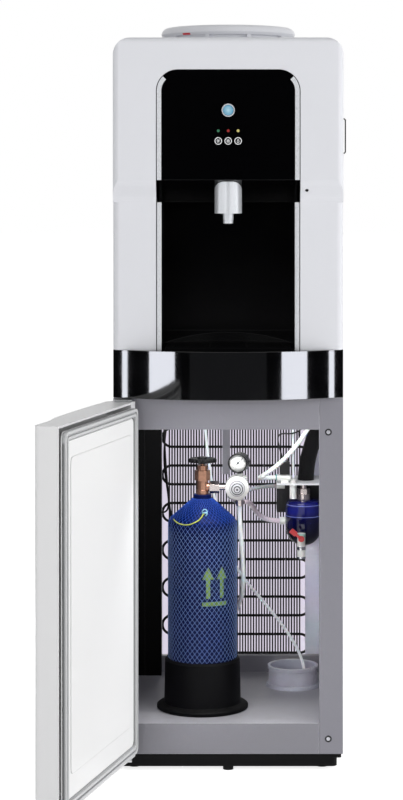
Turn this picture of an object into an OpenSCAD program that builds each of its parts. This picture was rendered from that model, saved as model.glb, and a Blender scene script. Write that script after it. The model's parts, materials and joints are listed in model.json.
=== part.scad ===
// Floor-standing water dispenser with a soda cabinet: gas cylinder, regulator and carbonator
// behind a hinged door, and a bottle collar, buttons, tap and drip tray above.
// Millimetres, +Z up, +Y to the back. The origin is under the front centre foot.

/* [Cabinet] */
// Overall width
body_w = 320; // [306:1:336]
// Depth of the side panels
body_d = 330; // [320:1:345]
// Steel sheet thickness
sheet = 1.2; // [1:0.1:1.5]
// Width of the front stiles
stile_w = 33; // [29:1:36]
// Width of the left rear flange
left_flange = 58; // [50:1:62]
// Width of the right rear flange
right_flange = 41; // [36:1:46]

/* [Heights] */
// Foot height
foot_h = 6; // [4:0.5:9]
// Base moulding height
base_h = 18; // [16:0.5:24]
// Apron below the cabinet opening
apron_h = 42.5; // [38:0.5:50]
// Cabinet opening
opening_h = 410; // [400:1:430]
// Rail above the cabinet opening
rail_h = 45; // [40:0.5:55]
// Drip shroud
shroud_h = 66.5; // [60:0.5:75]
// Cup alcove
alcove_h = 205; // [195:1:220]
// Sloping lip under the head
lip_h = 31; // [27:0.5:36]
// Head with the control panel
head_h = 197.5; // [190:0.5:210]
// Bottle collar above the top
collar_h = 24.5; // [22:0.5:30]

/* [Front mouldings] */
// Wall of the plastic mouldings
wall = 3; // [2.5:0.1:3.5]
// Depth of the front housing behind the cabinet face
house_d = 45; // [42:1:50]
// How far the head stands out
head_p = 18; // [16:0.5:22]
// How far the columns stand out
column_p = 6; // [5:0.5:8]
// Radius of the top corners
corner_r = 25; // [20:1:30]
// Radius of the upright front edges
edge_r = 9; // [6:0.5:11]
// Half width of the panel opening
panel_hw = 100; // [97:0.5:103]
// Height of the control panel
panel_h = 153; // [148:1:158]
// Radius of the panel's top corners
panel_r = 30; // [26:1:33]
// Width of the chrome trims
trim_w = 6.2; // [5:0.2:7]
// Black edge that shows outside the trims
trim_in = 1.2; // [0.8:0.1:1.6]
// Depth of the sloping lip behind the cabinet face
lip_d = 55; // [50:1:60]
// Depth of the cup alcove
alcove_d = 100; // [96:1:106]
// Bulge of the drip shroud
bulge = 46; // [42:1:50]
// Radius of the tap cover
tap_r = 19; // [17:0.5:21]
// Tap axis behind the cabinet face
tap_y = 5; // [4:0.5:8]

/* [Controls] */
// Radius of the pour button
pour_r = 9.2; // [8.6:0.1:11]
// Radius of the choice buttons
key_r = 5.5; // [5:0.1:6]
// Pitch of the choice buttons
key_pitch = 13.7; // [13:0.1:15]
// Radius of the indicator lamps
lamp_r = 2; // [1.6:0.1:2.4]

/* [Bottle seat] */
// Bottle axis behind the cabinet face
bottle_y = 172; // [166:1:178]
// Radius of the collar rim
collar_r = 98; // [95:1:101]
// Radius of the neck bore
neck_r = 30; // [28:0.5:32]

/* [Door] */
// Door opening angle as drawn
door_open = 105; // [95:1:115]
// Door thickness at the free edge
door_t = 33; // [30:0.5:36]
// Extra thickness of the door bulge
door_bulge = 7; // [5:0.5:9]
// Hinge axis in front of the cabinet face
hinge_out = 25; // [24:0.5:27]
// Hinge axis from the left edge
hinge_in = 12; // [10:0.5:14]
// Hinge pin radius
hinge_r = 3; // [2.5:0.1:3.5]

/* [Gas set] */
// Cylinder radius
cyl_r = 48.5; // [46:0.5:50]
// Cylinder height to the top of its neck
cyl_h = 302; // [292:1:308]
// Boot wall
boot_wall = 5.4; // [4.5:0.1:6.5]
// Boot height
boot_h = 72; // [66:1:80]
// Radius of the boot flange
boot_flange = 65.5; // [63:0.5:68]
// Cylinder axis behind the cabinet face
cyl_y = 97.5; // [94:0.5:104]
// Regulator body radius
reg_r = 16.7; // [15.5:0.1:17.5]
// Gauge case radius
gauge_r = 14; // [13:0.2:15]
// Carbonator bowl radius
bowl_r = 27; // [25:0.5:29]
// Depth of the carbonator's pump block
pump_d = 34; // [30:1:38]
// Height of the carbonator's pump block
pump_h = 48; // [42:1:54]
// Carbonator plate thickness
plate_t = 2.5; // [2:0.1:3]
// Drip cup radius
cup_r = 37.8; // [35:0.2:40]
// Drip cup height
cup_h = 31; // [28:0.5:34]

/* [Condenser] */
// Condenser tube radius
coil_r = 2; // [1.8:0.1:2.4]
// Spacing of the condenser runs
coil_pitch = 29; // [28:0.2:30]
// Condenser wire spacing
wire_pitch = 4.2; // [4:0.1:4.6]
// Depth of the wiring duct
duct_d = 25; // [22:0.5:28]

/* [Machine space] */
// Compressor radius
comp_r = 65; // [60:0.5:68]
// Compressor height
comp_h = 142; // [130:1:155]
// Hot tank radius
hot_r = 45; // [40:0.5:48]
// Hot tank height
hot_h = 140; // [128:1:152]
// Cold tank radius
tank_r = 78; // [72:0.5:82]

/* [Hidden] */
$fn = 48;
// Clearance of pieces that are set together
gap = 0.3;
// Running clearance of pins in their holes
run = 0.08;
hw = body_w / 2;
base_z = foot_h;
cab_z = base_z + base_h;
floor_z = cab_z + apron_h;
open_z = floor_z + opening_h;
shelf_z = open_z + rail_h;
under_z = shelf_z - sheet;
tray_z = shelf_z + shroud_h;
lip_z = tray_z + alcove_h;
panel_z = lip_z + lip_h;
panel_top = panel_z + panel_h;
top_z = panel_z + head_h;
rim_z = top_z + collar_h;
skin_top = top_z - corner_r - 11;
// The centre foot stands this far behind the cabinet face
foot_y = 12;
foot_r = 7.3;
pad_r = 10;
pads = [[-hw + 28, 32], [hw - 28, 32], [-hw + 28, body_d - 32], [hw - 28, body_d - 32]];
stile_return = 10;
in_hw = hw - sheet - gap;
mouth_hw = hw - stile_w;
back_y = body_d - sheet - gap;
rail_y = body_d - 14;
face_y = -head_p + 1;
// Height of the sloping lip at a given depth
function lip_at(y) = lip_z + lip_h * (lip_d - y) / (lip_d - face_y);
// Drip shroud: one arc across the front, the basin well follows it
front_r = (hw * hw + bulge * bulge) / (2 * bulge);
front_c = front_r - bulge;
well_hw = panel_hw - 14;
slot_w = (2 * well_hw - 19) / 3;
well_r = 2 * alcove_d - 2;
well_c = alcove_d - 7 - well_r;
pour_z = panel_z + 0.63 * panel_h;
lamp_z = panel_z + 0.445 * panel_h;
key_z = panel_z + 0.353 * panel_h;
board_y = face_y + 7;
tank_z = panel_z + 16;
tank_h = head_h - 77.5;
machine_y = body_d - 108;
duct_y = rail_y - duct_d;
switch_x = -hw + 40;
gland_x = -hw + 75;
cyl_x = 0.1 * boot_flange - 43.5;
boot_base = 4;
cyl_z = floor_z + boot_base;
neck_z = cyl_z + cyl_h;
port_z = neck_z + 10;
reg_x = cyl_x + 33 + reg_r;
gauge_x = reg_x + 3.5;
gauge_z = port_z + reg_r + 5 + gauge_r;
gauge_turn = 14;
block_x = reg_x + 3.5;
block_z = port_z - reg_r - 10;
carb_x = hw - 48;
carb_y = 200;
plate_z = floor_z + opening_h - 102.5;
plate_x = carb_x - 40;
bowl_z = plate_z - 93;
bowl_top = plate_z - 25;
cock_y = carb_y - bowl_r - 15;
cock_x = carb_x - 5;
cup_x = carb_x - 15;
pump_y = carb_y + bowl_r + 2;
cup_y = carb_y + 29;
valve_y = carb_y - 16;
check_x = carb_x - 16;
check_y = carb_y - 14;
hose_turn = 58;
feed_turn = 115;
coil_y = body_d + coil_r + 0.1;
coil_z = floor_z + 26;
coil_l = -hw + left_flange + 15;
coil_e = hw - right_flange - 8;
runs = floor((under_z - 30 - coil_z) / coil_pitch) + 1;
door_hw = hw - 1;
door_z = cab_z + 2;
door_top = shelf_z - 3.5;
shell_y = -8;
hinge_x = -hw + hinge_in;
hinge_y = -hinge_out;
seal_hw = hw - 10;
seal_w = 12;
// Outlet ports of the regulator: a point on the axis of one that is turned by a
function port(a, l) = [block_x + l * cos(a), cyl_y + l * sin(a), block_z + 4];
// Tube routes from fitting to fitting: every third point lies on the tube, the others steer it
gas_route = [
    [block_x, cyl_y, block_z - gap], [block_x, cyl_y, block_z - 40],
    [block_x + 10, cyl_y - 2, block_z - 104], [block_x + 3, cyl_y + 26, block_z - 136],
    [block_x - 5, cyl_y + 58, block_z - 173],
    [cyl_x - 3, rail_y - 96, floor_z + 14], [cyl_x - 3, rail_y - 16 - gap, floor_z + 14]];
feed_route = [
    port(feed_turn, 9 + gap), port(feed_turn, 36), [plate_x - 48, carb_y, plate_z - 4.5],
    [plate_x - gap, carb_y, plate_z - 4.5]];
hose_route = [
    port(hose_turn, 9 + gap), port(hose_turn, 48), [carb_x - bowl_r - 54, carb_y, bowl_z + 37],
    [carb_x - bowl_r - 8 - gap, carb_y, bowl_z + 37]];
drain_route = [
    [cyl_x, carb_y + 25, under_z - gap], [cyl_x, carb_y + 25, under_z - 100],
    [cyl_x + 21, carb_y - 1, neck_z - 92], [cyl_x + 61, carb_y + 3, neck_z - 142],
    [cyl_x + 95, carb_y + 7, neck_z - 184],
    [cup_x + 13, cup_y + 2, floor_z + 65], [cup_x + 17, cup_y + 4, floor_z + 20]];
supply_route = [
    [carb_x + 25, valve_y - 52, under_z - gap], [carb_x + 25, valve_y - 52, under_z - 30],
    [carb_x - 6, valve_y - 52, under_z - 83], [carb_x - 43, valve_y - 52, under_z - 113],
    [carb_x - 54, valve_y - 52, under_z - 122], [carb_x - 66, valve_y - 40, under_z - 130],
    [carb_x - 66, valve_y - 26, under_z - 133], [carb_x - 66, valve_y - 12, under_z - 136],
    [plate_x - 15, valve_y, plate_z + 10.5], [plate_x - gap, valve_y, plate_z + 10.5]];
rise_route = [
    [check_x, check_y, plate_z + 7.6 + gap], [check_x, check_y, plate_z + 46],
    [check_x, carb_y, under_z - 60], [check_x, carb_y, under_z - gap]];
foam_route = [
    [carb_x + 4, carb_y + 16, plate_z + plate_t + gap], [carb_x + 4, carb_y + 16, plate_z + 56],
    [carb_x + 29, carb_y + 18, under_z - 76], [carb_x + 29, carb_y + 18, under_z - gap]];
lead_x = -hw + left_flange;
lead_y = rail_y - 13;
lead_a = [
    [lead_x + 12, lead_y, under_z - gap], [lead_x + 12, lead_y, under_z - 60],
    [lead_x + 2, lead_y, under_z - 90], [lead_x + 4, lead_y, under_z - 130],
    [lead_x + 6, lead_y, under_z - 170], [lead_x + 20, lead_y, under_z - 206],
    [lead_x + gap, lead_y, under_z - 206]];
lead_b = [
    [lead_x + 3, lead_y - 5, under_z - gap], [lead_x + 3, lead_y - 5, under_z - 90],
    [lead_x + 6, lead_y - 5, under_z - 150], [lead_x + 15, lead_y - 4, under_z - 215],
    [lead_x + 22, lead_y - 3, under_z - 265], [lead_x + 20, rail_y + 5, floor_z + 90],
    [lead_x + 20, rail_y + 5, floor_z + 25.2 + gap]];
coil_top = plate_z + 34;
lead_c = [
    [plate_x + 8, valve_y - 5, coil_top + gap], [plate_x + 8, valve_y - 5, coil_top + 18],
    [plate_x - 10, valve_y - 6, coil_top + 44], [plate_x + 13, valve_y - 6, coil_top + 42],
    [plate_x + 34, valve_y - 6, coil_top + 40], [carb_x + 14, valve_y - 2, coil_top + 54],
    [carb_x + 14, valve_y - 2, under_z - gap]];
lead_d = [
    [plate_x + 16, valve_y - 5, coil_top + gap], [plate_x + 16, valve_y - 5, coil_top + 16],
    [plate_x + 35, valve_y - 2, coil_top + 22], [plate_x + 33, valve_y - 1, coil_top + 36],
    [plate_x + 30, valve_y, coil_top + 56], [carb_x + 5, valve_y + 2, coil_top + 60],
    [carb_x + 5, valve_y + 2, under_z - gap]];

// Points of an arc, both ends included
function arc(c, r, a, b, n) = [for (i = [0:n]) c + r * [cos(a + (b - a) * i / n), sin(a + (b - a) * i / n)]];
// Smooth step from 0 to 1
function ease(s) = s * s * (3 - 2 * s);
function unit(v) = v / norm(v);
// Point and heading on a cubic span from a to d that is steered by b and c
function span(a, b, c, d, t) =
    pow(1 - t, 3) * a + 3 * pow(1 - t, 2) * t * b + 3 * (1 - t) * t * t * c + t * t * t * d;
function heading(a, b, c, d, t) =
    unit(pow(1 - t, 2) * (b - a) + 2 * (1 - t) * t * (c - b) + t * t * (d - c));
function ring(c, t, side, r, k) = let (u = unit(cross(t, side)), v = cross(u, t))
    [for (j = [0:k - 1]) c + r * (cos(360 * j / k) * u + sin(360 * j / k) * v)];

// One closed tube of radius r along route p: n rings of k points in each span
module tube(p, n, r, k, side) {
    last = len(p) - 1;
    points = concat(
        [for (i = [0:3:last - 3]) for (j = [0:n - 1]) each ring(
            span(p[i], p[i + 1], p[i + 2], p[i + 3], j / n),
            heading(p[i], p[i + 1], p[i + 2], p[i + 3], j / n), side, r, k)],
        ring(p[last], unit(p[last] - p[last - 1]), side, r, k));
    m = len(points) / k;
    polyhedron(points = points, faces = concat(
        [[for (j = [k - 1:-1:0]) j]],
        [[for (j = [0:k - 1]) (m - 1) * k + j]],
        [for (i = [0:m - 2]) for (j = [0:k - 1])
            [i * k + j, i * k + (j + 1) % k, (i + 1) * k + (j + 1) % k]],
        [for (i = [0:m - 2]) for (j = [0:k - 1])
            [i * k + j, (i + 1) * k + (j + 1) % k, (i + 1) * k + j]]));
}

// Extrusions of a side view across the width and of a front view through the depth
module across(x0, x1, p) translate([x0, 0, 0]) rotate([90, 0, 90]) linear_extrude(x1 - x0) polygon(p);
module through(y0, y1) translate([0, y1, 0]) rotate([90, 0, 0]) linear_extrude(y1 - y0) children();
// Rectangle with four rounded corners
module round_rect(x0, x1, y0, y1, r) {
    translate([x0 + r, y0]) square([x1 - x0 - 2 * r, y1 - y0]);
    translate([x0, y0 + r]) square([x1 - x0, y1 - y0 - 2 * r]);
    for (x = [x0 + r, x1 - r]) for (y = [y0 + r, y1 - r]) translate([x, y]) circle(r = r);
}
// Upright outline with only its two top corners rounded
module arch(w, z0, z1, r) {
    translate([-w, z0]) square([2 * w, z1 - r - z0]);
    translate([r - w, z0]) square([2 * (w - r), z1 - z0]);
    for (x = [r - w, w - r]) translate([x, z1 - r]) intersection() {
        circle(r = r);
        translate([-r, 0]) square([2 * r, r]);
    }
}
// Round bar along X or Y
module bar_x(x0, x1, y, z, r) translate([x0, y, z]) rotate([0, 90, 0]) cylinder(r = r, h = x1 - x0);
module bar_y(x, y0, y1, z, r) translate([x, y1, z]) rotate([90, 0, 0]) cylinder(r = r, h = y1 - y0);
module post(x, y, z0, z1, r) translate([x, y, z0]) cylinder(r = r, h = z1 - z0);
module slab(x0, x1, y0, y1, z0, z1) translate([x0, y0, z0]) cube([x1 - x0, y1 - y0, z1 - z0]);

// Base moulding with a hollow underside and a boss over each foot
module base_plate() color("#17181a") difference() {
    union() {
        difference() {
            union() {
                translate([0, 0, base_z]) linear_extrude(base_h)
                    round_rect(-hw + 8, hw - 8, 3, body_d - 6, 8);
                translate([0, 0, cab_z - 6]) linear_extrude(6)
                    round_rect(-hw + 2, hw - 2, 3, body_d - 3, 3);
            }
            translate([0, 0, base_z - 1]) linear_extrude(base_h - wall + 1)
                round_rect(-hw + 8 + wall, hw - 8 - wall, 3 + wall, body_d - 6 - wall, 5);
        }
        for (p = pads) post(p[0], p[1], base_z, cab_z - wall + 0.5, 9);
        post(0, foot_y, base_z, cab_z - wall + 0.5, foot_r);
    }
    for (p = concat(pads, [[0, foot_y]])) post(p[0], p[1], base_z - 1, base_z + 9, 3.5 + run);
}

module feet() color("#101113") {
    for (p = pads) {
        post(p[0], p[1], 0, foot_h, pad_r);
        post(p[0], p[1], foot_h - 1, foot_h + 8, 3.5);
    }
    post(0, foot_y, 0, foot_h, foot_r);
    post(0, foot_y, foot_h - 1, foot_h + 8, 3.5);
}

// Folded side sheet: skin, front stile with its return, rear flange
module side_sheet(rear_w) {
    translate([0, 0, cab_z]) linear_extrude(under_z - cab_z) polygon([
        [-hw, 0], [-hw + stile_w, 0], [-hw + stile_w, stile_return], [-hw + stile_w - sheet, stile_return],
        [-hw + stile_w - sheet, sheet], [-hw + sheet, sheet], [-hw + sheet, body_d - sheet],
        [-hw + rear_w, body_d - sheet], [-hw + rear_w, body_d], [-hw, body_d]]);
    translate([0, 0, under_z]) linear_extrude(skin_top - under_z) polygon([
        [-hw, house_d], [-hw + sheet, house_d], [-hw + sheet, body_d - sheet],
        [-hw + 14, body_d - sheet], [-hw + 14, body_d], [-hw, body_d]]);
}

module left_side_panel() color("#8d8d94") side_sheet(left_flange);

module right_side_panel() color("#8d8d94") difference() {
    mirror([1, 0, 0]) side_sheet(right_flange);
    bar_y(mouth_hw + 12.5, -1, sheet + 1, open_z - 3.5, 3 + gap);
    bar_y(mouth_hw + 12.5, -1, sheet + 1, floor_z - 21.5, 3 + gap);
}

// Shelf under the machine space, its front edge folded down as the top rail
module machine_shelf() color("#8d8d94") {
    slab(-in_hw, in_hw, 0, back_y, under_z, shelf_z);
    slab(-mouth_hw + gap, mouth_hw - gap, 0, sheet, open_z, shelf_z);
}

// Floor pan standing on its folded edges, the front one is the apron
module cabinet_floor() color("#8d8d94") {
    translate([0, 0, floor_z - sheet]) linear_extrude(sheet) polygon([
        [-mouth_hw + gap, 0], [mouth_hw - gap, 0], [mouth_hw - gap, stile_return + 1],
        [in_hw, stile_return + 1], [in_hw, back_y], [-in_hw, back_y],
        [-in_hw, stile_return + 1], [-mouth_hw + gap, stile_return + 1]]);
    slab(-mouth_hw + gap, mouth_hw - gap, 0, sheet, cab_z, floor_z);
    slab(-in_hw, -in_hw + sheet, stile_return + 1, back_y, cab_z, floor_z);
    slab(in_hw - sheet, in_hw, stile_return + 1, back_y, cab_z, floor_z);
    slab(-in_hw, in_hw, back_y - sheet, back_y, cab_z, floor_z);
}

// Rear rail on the floor, strap in front of the condenser, cold tank shelf with its gussets
module rear_braces() color("#9a9aa0") {
    across(-in_hw, in_hw, [[rail_y, floor_z], [rail_y + sheet, floor_z], [rail_y + sheet, floor_z + 24],
        [rail_y + 11, floor_z + 24], [rail_y + 11, floor_z + 25.2], [rail_y, floor_z + 25.2]]);
    slab(-9, 3, body_d - 4.5, body_d - 3.3, plate_z - 4, under_z);
    slab(-9, 3, body_d - 24, body_d - 3.3, under_z - sheet, under_z);
    slab(-tank_r - 6, tank_r + 6, bottle_y - tank_r - 2, body_d, tank_z - sheet, tank_z);
    for (x = [-tank_r - 6, tank_r + 6 - sheet]) across(x, x + sheet,
        [[body_d, tank_z], [body_d, tank_z - 60], [bottle_y - 40, tank_z]]);
}

// Wiring duct in the left rear corner
module cable_duct() color("#15161a") {
    difference() {
        slab(-hw + 21, -hw + left_flange, duct_y, rail_y - gap, floor_z, under_z);
        slab(-hw + 23, -hw + left_flange - 2, duct_y + 9, rail_y + 1, floor_z + 2, under_z - 2);
        slab(-hw + 32.5, -hw + 34, duct_y - 1, duct_y + 1, floor_z - 1, under_z + 1);
    }
}

module stile_screws() color("#d9dade") for (z = [open_z - 3.5, floor_z - 21.5]) {
    bar_y(mouth_hw + 12.5, -0.4, 0, z, 4.8);
    bar_y(mouth_hw + 12.5, -0.2, 6, z, 3);
}

// Top and bottom hinge plates with their pins
module hinge_brackets() color("#c9cacd") {
    slab(-hw + 3, -hw + 27, hinge_y - 8, 0, door_top + gap, door_top + 2.8);
    post(hinge_x, hinge_y, door_top - 10, door_top + 1, hinge_r);
    slab(-hw + 3, -hw + 27, hinge_y - 8, 3, cab_z - 3, cab_z);
    post(hinge_x, hinge_y, cab_z - 1, door_z - gap, hinge_r + 2);
    post(hinge_x, hinge_y, cab_z - 1, door_z + 10, hinge_r);
}

// Serpentine tube: level runs joined by half rings
module condenser_tube() color("#1b1c20") {
    for (i = [0:runs - 1]) bar_x(coil_l, coil_e, coil_y, coil_z + i * coil_pitch, coil_r);
    for (i = [1:2:runs - 2]) translate([coil_l, coil_y, coil_z + (i + 0.5) * coil_pitch])
        rotate([90, 90, 0]) rotate_extrude(angle = -180) translate([coil_pitch / 2, 0]) circle(coil_r);
    for (i = [0:2:runs - 2]) translate([coil_e, coil_y, coil_z + (i + 0.5) * coil_pitch])
        rotate([90, 90, 0]) rotate_extrude(angle = 180) translate([coil_pitch / 2, 0]) circle(coil_r);
}

// Upright wires on both sides of the serpentine
module condenser_wires() color("#22232a")
    for (x = [coil_l - 4:wire_pitch:coil_e + 2]) for (s = [-1, 1])
        translate([x, coil_y + s * (coil_r + 0.85), coil_z - 8])
            linear_extrude(runs * coil_pitch - 4) circle(0.8, $fn = 6);

// Sealed compressor on a foot plate with four grommets
module compressor() color("#1a1b1d") translate([-72, machine_y, shelf_z]) {
    for (x = [13 - comp_r, comp_r - 13]) for (y = [13 - comp_r, comp_r - 13])
        translate([x, y, 0]) cylinder(r = 10, h = 14);
    translate([0, 0, 12]) linear_extrude(3)
        round_rect(1 - comp_r, comp_r - 1, 1 - comp_r, comp_r - 1, 14);
    translate([0, 0, 14]) rotate_extrude() polygon(concat([[0, 0]], arc([comp_r - 21, 18], 18, -90, 0, 5),
        [[comp_r - 3, 70], [comp_r, 70], [comp_r, 76], [comp_r - 3, 76]],
        arc([comp_r - 45, comp_h - 42], 42, 0, 90, 7), [[0, comp_h]]));
    translate([-18, -comp_r - 19, 60]) cube([36, 30, 46]);
}

// Hot tank on three legs and cold tank on the rear shelf
module water_tanks() color("#c4c6c8") {
    translate([88, machine_y, shelf_z]) {
        for (a = [30, 150, 270]) rotate(a) translate([hot_r - 11, 0, 0]) cylinder(r = 4, h = 36);
        translate([0, 0, 26]) rotate_extrude() polygon(concat([[5, 0]], arc([hot_r - 14, 14], 14, -90, 0, 5),
            arc([hot_r - 14, hot_h - 14], 14, 0, 90, 5), [[0, hot_h], [0, hot_h - 2]],
            arc([hot_r - 14, hot_h - 14], 12, 90, 0, 5), arc([hot_r - 14, 14], 12, 0, -90, 5), [[5, 2]]));
    }
    translate([0, bottle_y, tank_z]) rotate_extrude() polygon([[0, 0], [tank_r, 0], [tank_r, tank_h],
        [18, tank_h], [18, tank_h - 2], [tank_r - 2, tank_h - 2], [tank_r - 2, 2], [0, 2]]);
}

// Rear cover with vent slots, the switch window and the lead hole
module back_panel() color("#8d8d94") difference() {
    slab(-hw + 4, hw - 4, body_d, body_d + sheet, shelf_z - 18, skin_top - 2);
    for (i = [0:6]) for (x = [-100, 8])
        slab(x, x + 92, body_d - 1, body_d + sheet + 1, shelf_z + 120 + i * 14, shelf_z + 126 + i * 14);
    slab(switch_x - 6 - gap, switch_x + 6 + gap, body_d - 1, body_d + 3,
        shelf_z + 31.5 - gap, shelf_z + 49.5 + gap);
    bar_y(gland_x, body_d - 1, body_d + 3, shelf_z + 40.5, 7 + gap);
}

// Side view of the front housing, drawn in by the wall for its inside
function housing_side(w) = concat(
    [[house_d + w, tray_z - w], [-column_p + w, tray_z - w], [-column_p + w, lip_z]],
    [for (i = [1:8]) [-column_p + w - (head_p - column_p) * ease(i / 8), lip_z + lip_h * i / 8]],
    arc([-head_p + 8, top_z - 8], 8 - w, 180, 90, 5), [[house_d + w, top_z - w]]);
// Plan of the front housing that stands out by p, drawn in by w
module housing_plan(p, w) {
    translate([-hw + w, edge_r - p]) square([2 * (hw - w), house_d + w + p - edge_r]);
    translate([-hw + edge_r, w - p]) square([2 * (hw - edge_r), house_d + p]);
    for (x = [-hw + edge_r, hw - edge_r]) translate([x, edge_r - p]) circle(r = edge_r - w);
}
module housing_form(w) {
    intersection() {
        across(-hw, hw, housing_side(w));
        through(-head_p - 1, house_d + w) arch(hw - w, tray_z - w, top_z - w, corner_r - w);
        union() {
            translate([0, 0, tray_z - w]) linear_extrude(alcove_h + w) housing_plan(column_p, w);
            translate([0, 0, lip_z]) linear_extrude(top_z - lip_z) housing_plan(head_p, w);
        }
    }
}

// Silver front moulding: head, two columns, opening for panel and alcove
module front_housing() color("#dcdde2") difference() {
    housing_form(0);
    housing_form(wall);
    through(-head_p - 2, house_d - 2) arch(panel_hw, tray_z - 1, panel_top, panel_r);
}

// Top cover with the round opening for the bottle collar
module top_cover() color("#dcdde2") difference() {
    through(house_d, body_d) arch(hw, skin_top, top_z, corner_r);
    through(house_d - 1, body_d - wall) arch(hw - wall, skin_top - 1, top_z - wall, corner_r - wall);
    post(0, bottle_y, top_z - wall - 1, top_z + 1, collar_r - 6);
}

// Gloss panel and the sloping lip below it, bored for buttons and lamps
module control_panel() color("#0b0b0d") difference() {
    union() {
        intersection() {
            across(-panel_hw + gap, panel_hw - gap, [
                [face_y, panel_top - gap], [face_y, panel_z], [lip_d, lip_z], [lip_d, lip_z + wall + 0.4],
                [face_y + wall, panel_z + wall], [face_y + wall, panel_top - gap]]);
            through(face_y - 1, lip_d + 1) arch(panel_hw - gap, lip_z, panel_top - gap, panel_r - gap);
        }
        for (x = [-38, 38]) for (z = [key_z - 8, pour_z + 14]) bar_y(x, face_y + wall - 1, board_y, z, 3);
    }
    bar_y(0, face_y - 1, face_y + wall + 1, pour_z, pour_r - 1 + gap);
    for (k = [-1, 0, 1]) {
        bar_y(k * key_pitch, face_y - 1, face_y + wall + 1, key_z, key_r - 0.8 + gap);
        bar_y(k * key_pitch, face_y - 1, face_y + wall + 1, lamp_z, lamp_r + run);
    }
}

// Four chrome strips: beside the panel, up to half way round its corners, and beside the alcove
module chrome_trims() color("#d5d7da") {
    difference() {
        through(face_y - 1.2, face_y)
            arch(panel_hw - trim_in, panel_z, panel_top - trim_in, panel_r - trim_in);
        through(face_y - 2, face_y + 1) arch(panel_hw - trim_in - trim_w, panel_z - 1,
            panel_top - trim_in - trim_w, panel_r - trim_in - trim_w);
        through(face_y - 2, face_y + 1) polygon([
            [panel_r - panel_hw, panel_top - panel_r], [-panel_hw - 9, panel_top + 9],
            [panel_hw + 9, panel_top + 9], [panel_hw - panel_r, panel_top - panel_r]]);
    }
    for (s = [0, 1]) mirror([s, 0, 0])
        slab(panel_hw - trim_in - trim_w, panel_hw - trim_in, -column_p - 0.6, -3, tray_z, lip_z);
}

// Cup alcove: side walls, back wall with a rounded foot, short ceiling
module alcove_liner() color("#0c0c0e") difference() {
    across(-panel_hw + 4.3, panel_hw - 4.3, [
        [-3, tray_z], [alcove_d + wall, tray_z], [alcove_d + wall, lip_z + 2.5], [lip_d + gap, lip_z + 2.5],
        [lip_d + gap, lip_z - gap], [-3, lip_at(-3) - gap]]);
    across(-panel_hw + 6.8, panel_hw - 6.8, [
        [-4, tray_z - 1], [alcove_d - 25, tray_z - 1], [alcove_d - 25, tray_z + 4.5],
        [alcove_d, tray_z + 20], [alcove_d, lip_z], [lip_d - 2, lip_z],
        [lip_d - 2, panel_z + 9], [-4, panel_z + 9]]);
    intersection() {
        post(0, well_c, tray_z - 1, tray_z + 30, well_r + 3);
        slab(-panel_hw + 6.8, panel_hw - 6.8, 0, alcove_d, tray_z - 1, tray_z + 30);
    }
}

// Tap cover under the sloping lip, its top an arch from the front
module tap_cover() color("#cfd1d5") difference() {
    intersection() {
        union() {
            post(0, tap_y, lip_z - 15.5, panel_z, tap_r);
            slab(-tap_r, tap_r, tap_y, tap_y + 24, lip_z - 15.5, panel_z);
        }
        through(tap_y - tap_r - 1, tap_y + 25) arch(tap_r, lip_z - 16, panel_z - 2.2, 12);
    }
    across(-tap_r - 1, tap_r + 1, [[face_y - 9, lip_at(face_y - 9) - gap], [lip_d, lip_z - gap],
        [lip_d, panel_z + 9], [face_y - 9, panel_z + 9]]);
    post(0, tap_y, lip_z - 16, lip_z - 3, 6 + run);
}

module tap_nozzle() color("#b9bcc1") difference() {
    union() {
        post(0, tap_y, lip_z - 29.5, lip_z - 25.4, 6.8);
        post(0, tap_y, lip_z - 26, lip_z - 24.6, 6.2);
        post(0, tap_y, lip_z - 25, lip_z - 15.5, 7.3);
        post(0, tap_y, lip_z - 16, lip_z - 3.5, 6);
    }
    post(0, tap_y, lip_z - 30, lip_z - 8, 4);
}

module indicator_lamps() color("#5fd07a") for (k = [-1, 0, 1])
    bar_y(k * key_pitch, face_y - 0.8, board_y, lamp_z, lamp_r);

module control_board() color("#1f6b3f") slab(-46, 46, board_y, board_y + 1.6, key_z - 18, pour_z + 24);

// Three solenoid valves on the alcove ceiling
module dispensing_valves() color("#e8e8e4") for (x = [-42, 0, 42]) {
    slab(x - 13, x + 13, lip_d + 8, alcove_d - 4, lip_z + 2.5, lip_z + 22);
    post(x, (lip_d + alcove_d) / 2 + 2, lip_z + 21, lip_z + 40, 11);
}

// Plan of the drip shroud, w inside its skin: one true arc across the front
module shroud_plan(w, y1) intersection() {
    translate([0, front_c]) circle(r = front_r - w, $fn = 180);
    translate([-hw + w, -bulge - 1]) square([2 * (hw - w), bulge + y1 + 1]);
}
// Plan of the basin well, grown by g: it follows the front and has a rounded back
module well_plan(g) intersection() {
    translate([0, front_c]) circle(r = front_r - 14 + g, $fn = 180);
    translate([0, well_c]) circle(r = well_r + g, $fn = 180);
    translate([-well_hw - g, -bulge]) square([2 * (well_hw + g), bulge + alcove_d + 9]);
}

module drip_shroud() color("#0d0d0f") {
    translate([0, 0, shelf_z]) linear_extrude(shroud_h) difference() {
        shroud_plan(0, house_d);
        shroud_plan(wall, house_d + 1);
    }
    translate([0, 0, tray_z - wall]) linear_extrude(wall) difference() {
        union() {
            shroud_plan(1, house_d);
            translate([-panel_hw + 4, house_d - 1])
                square([2 * panel_hw - 8, alcove_d + wall - house_d + 2]);
        }
        well_plan(0);
    }
}

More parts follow.
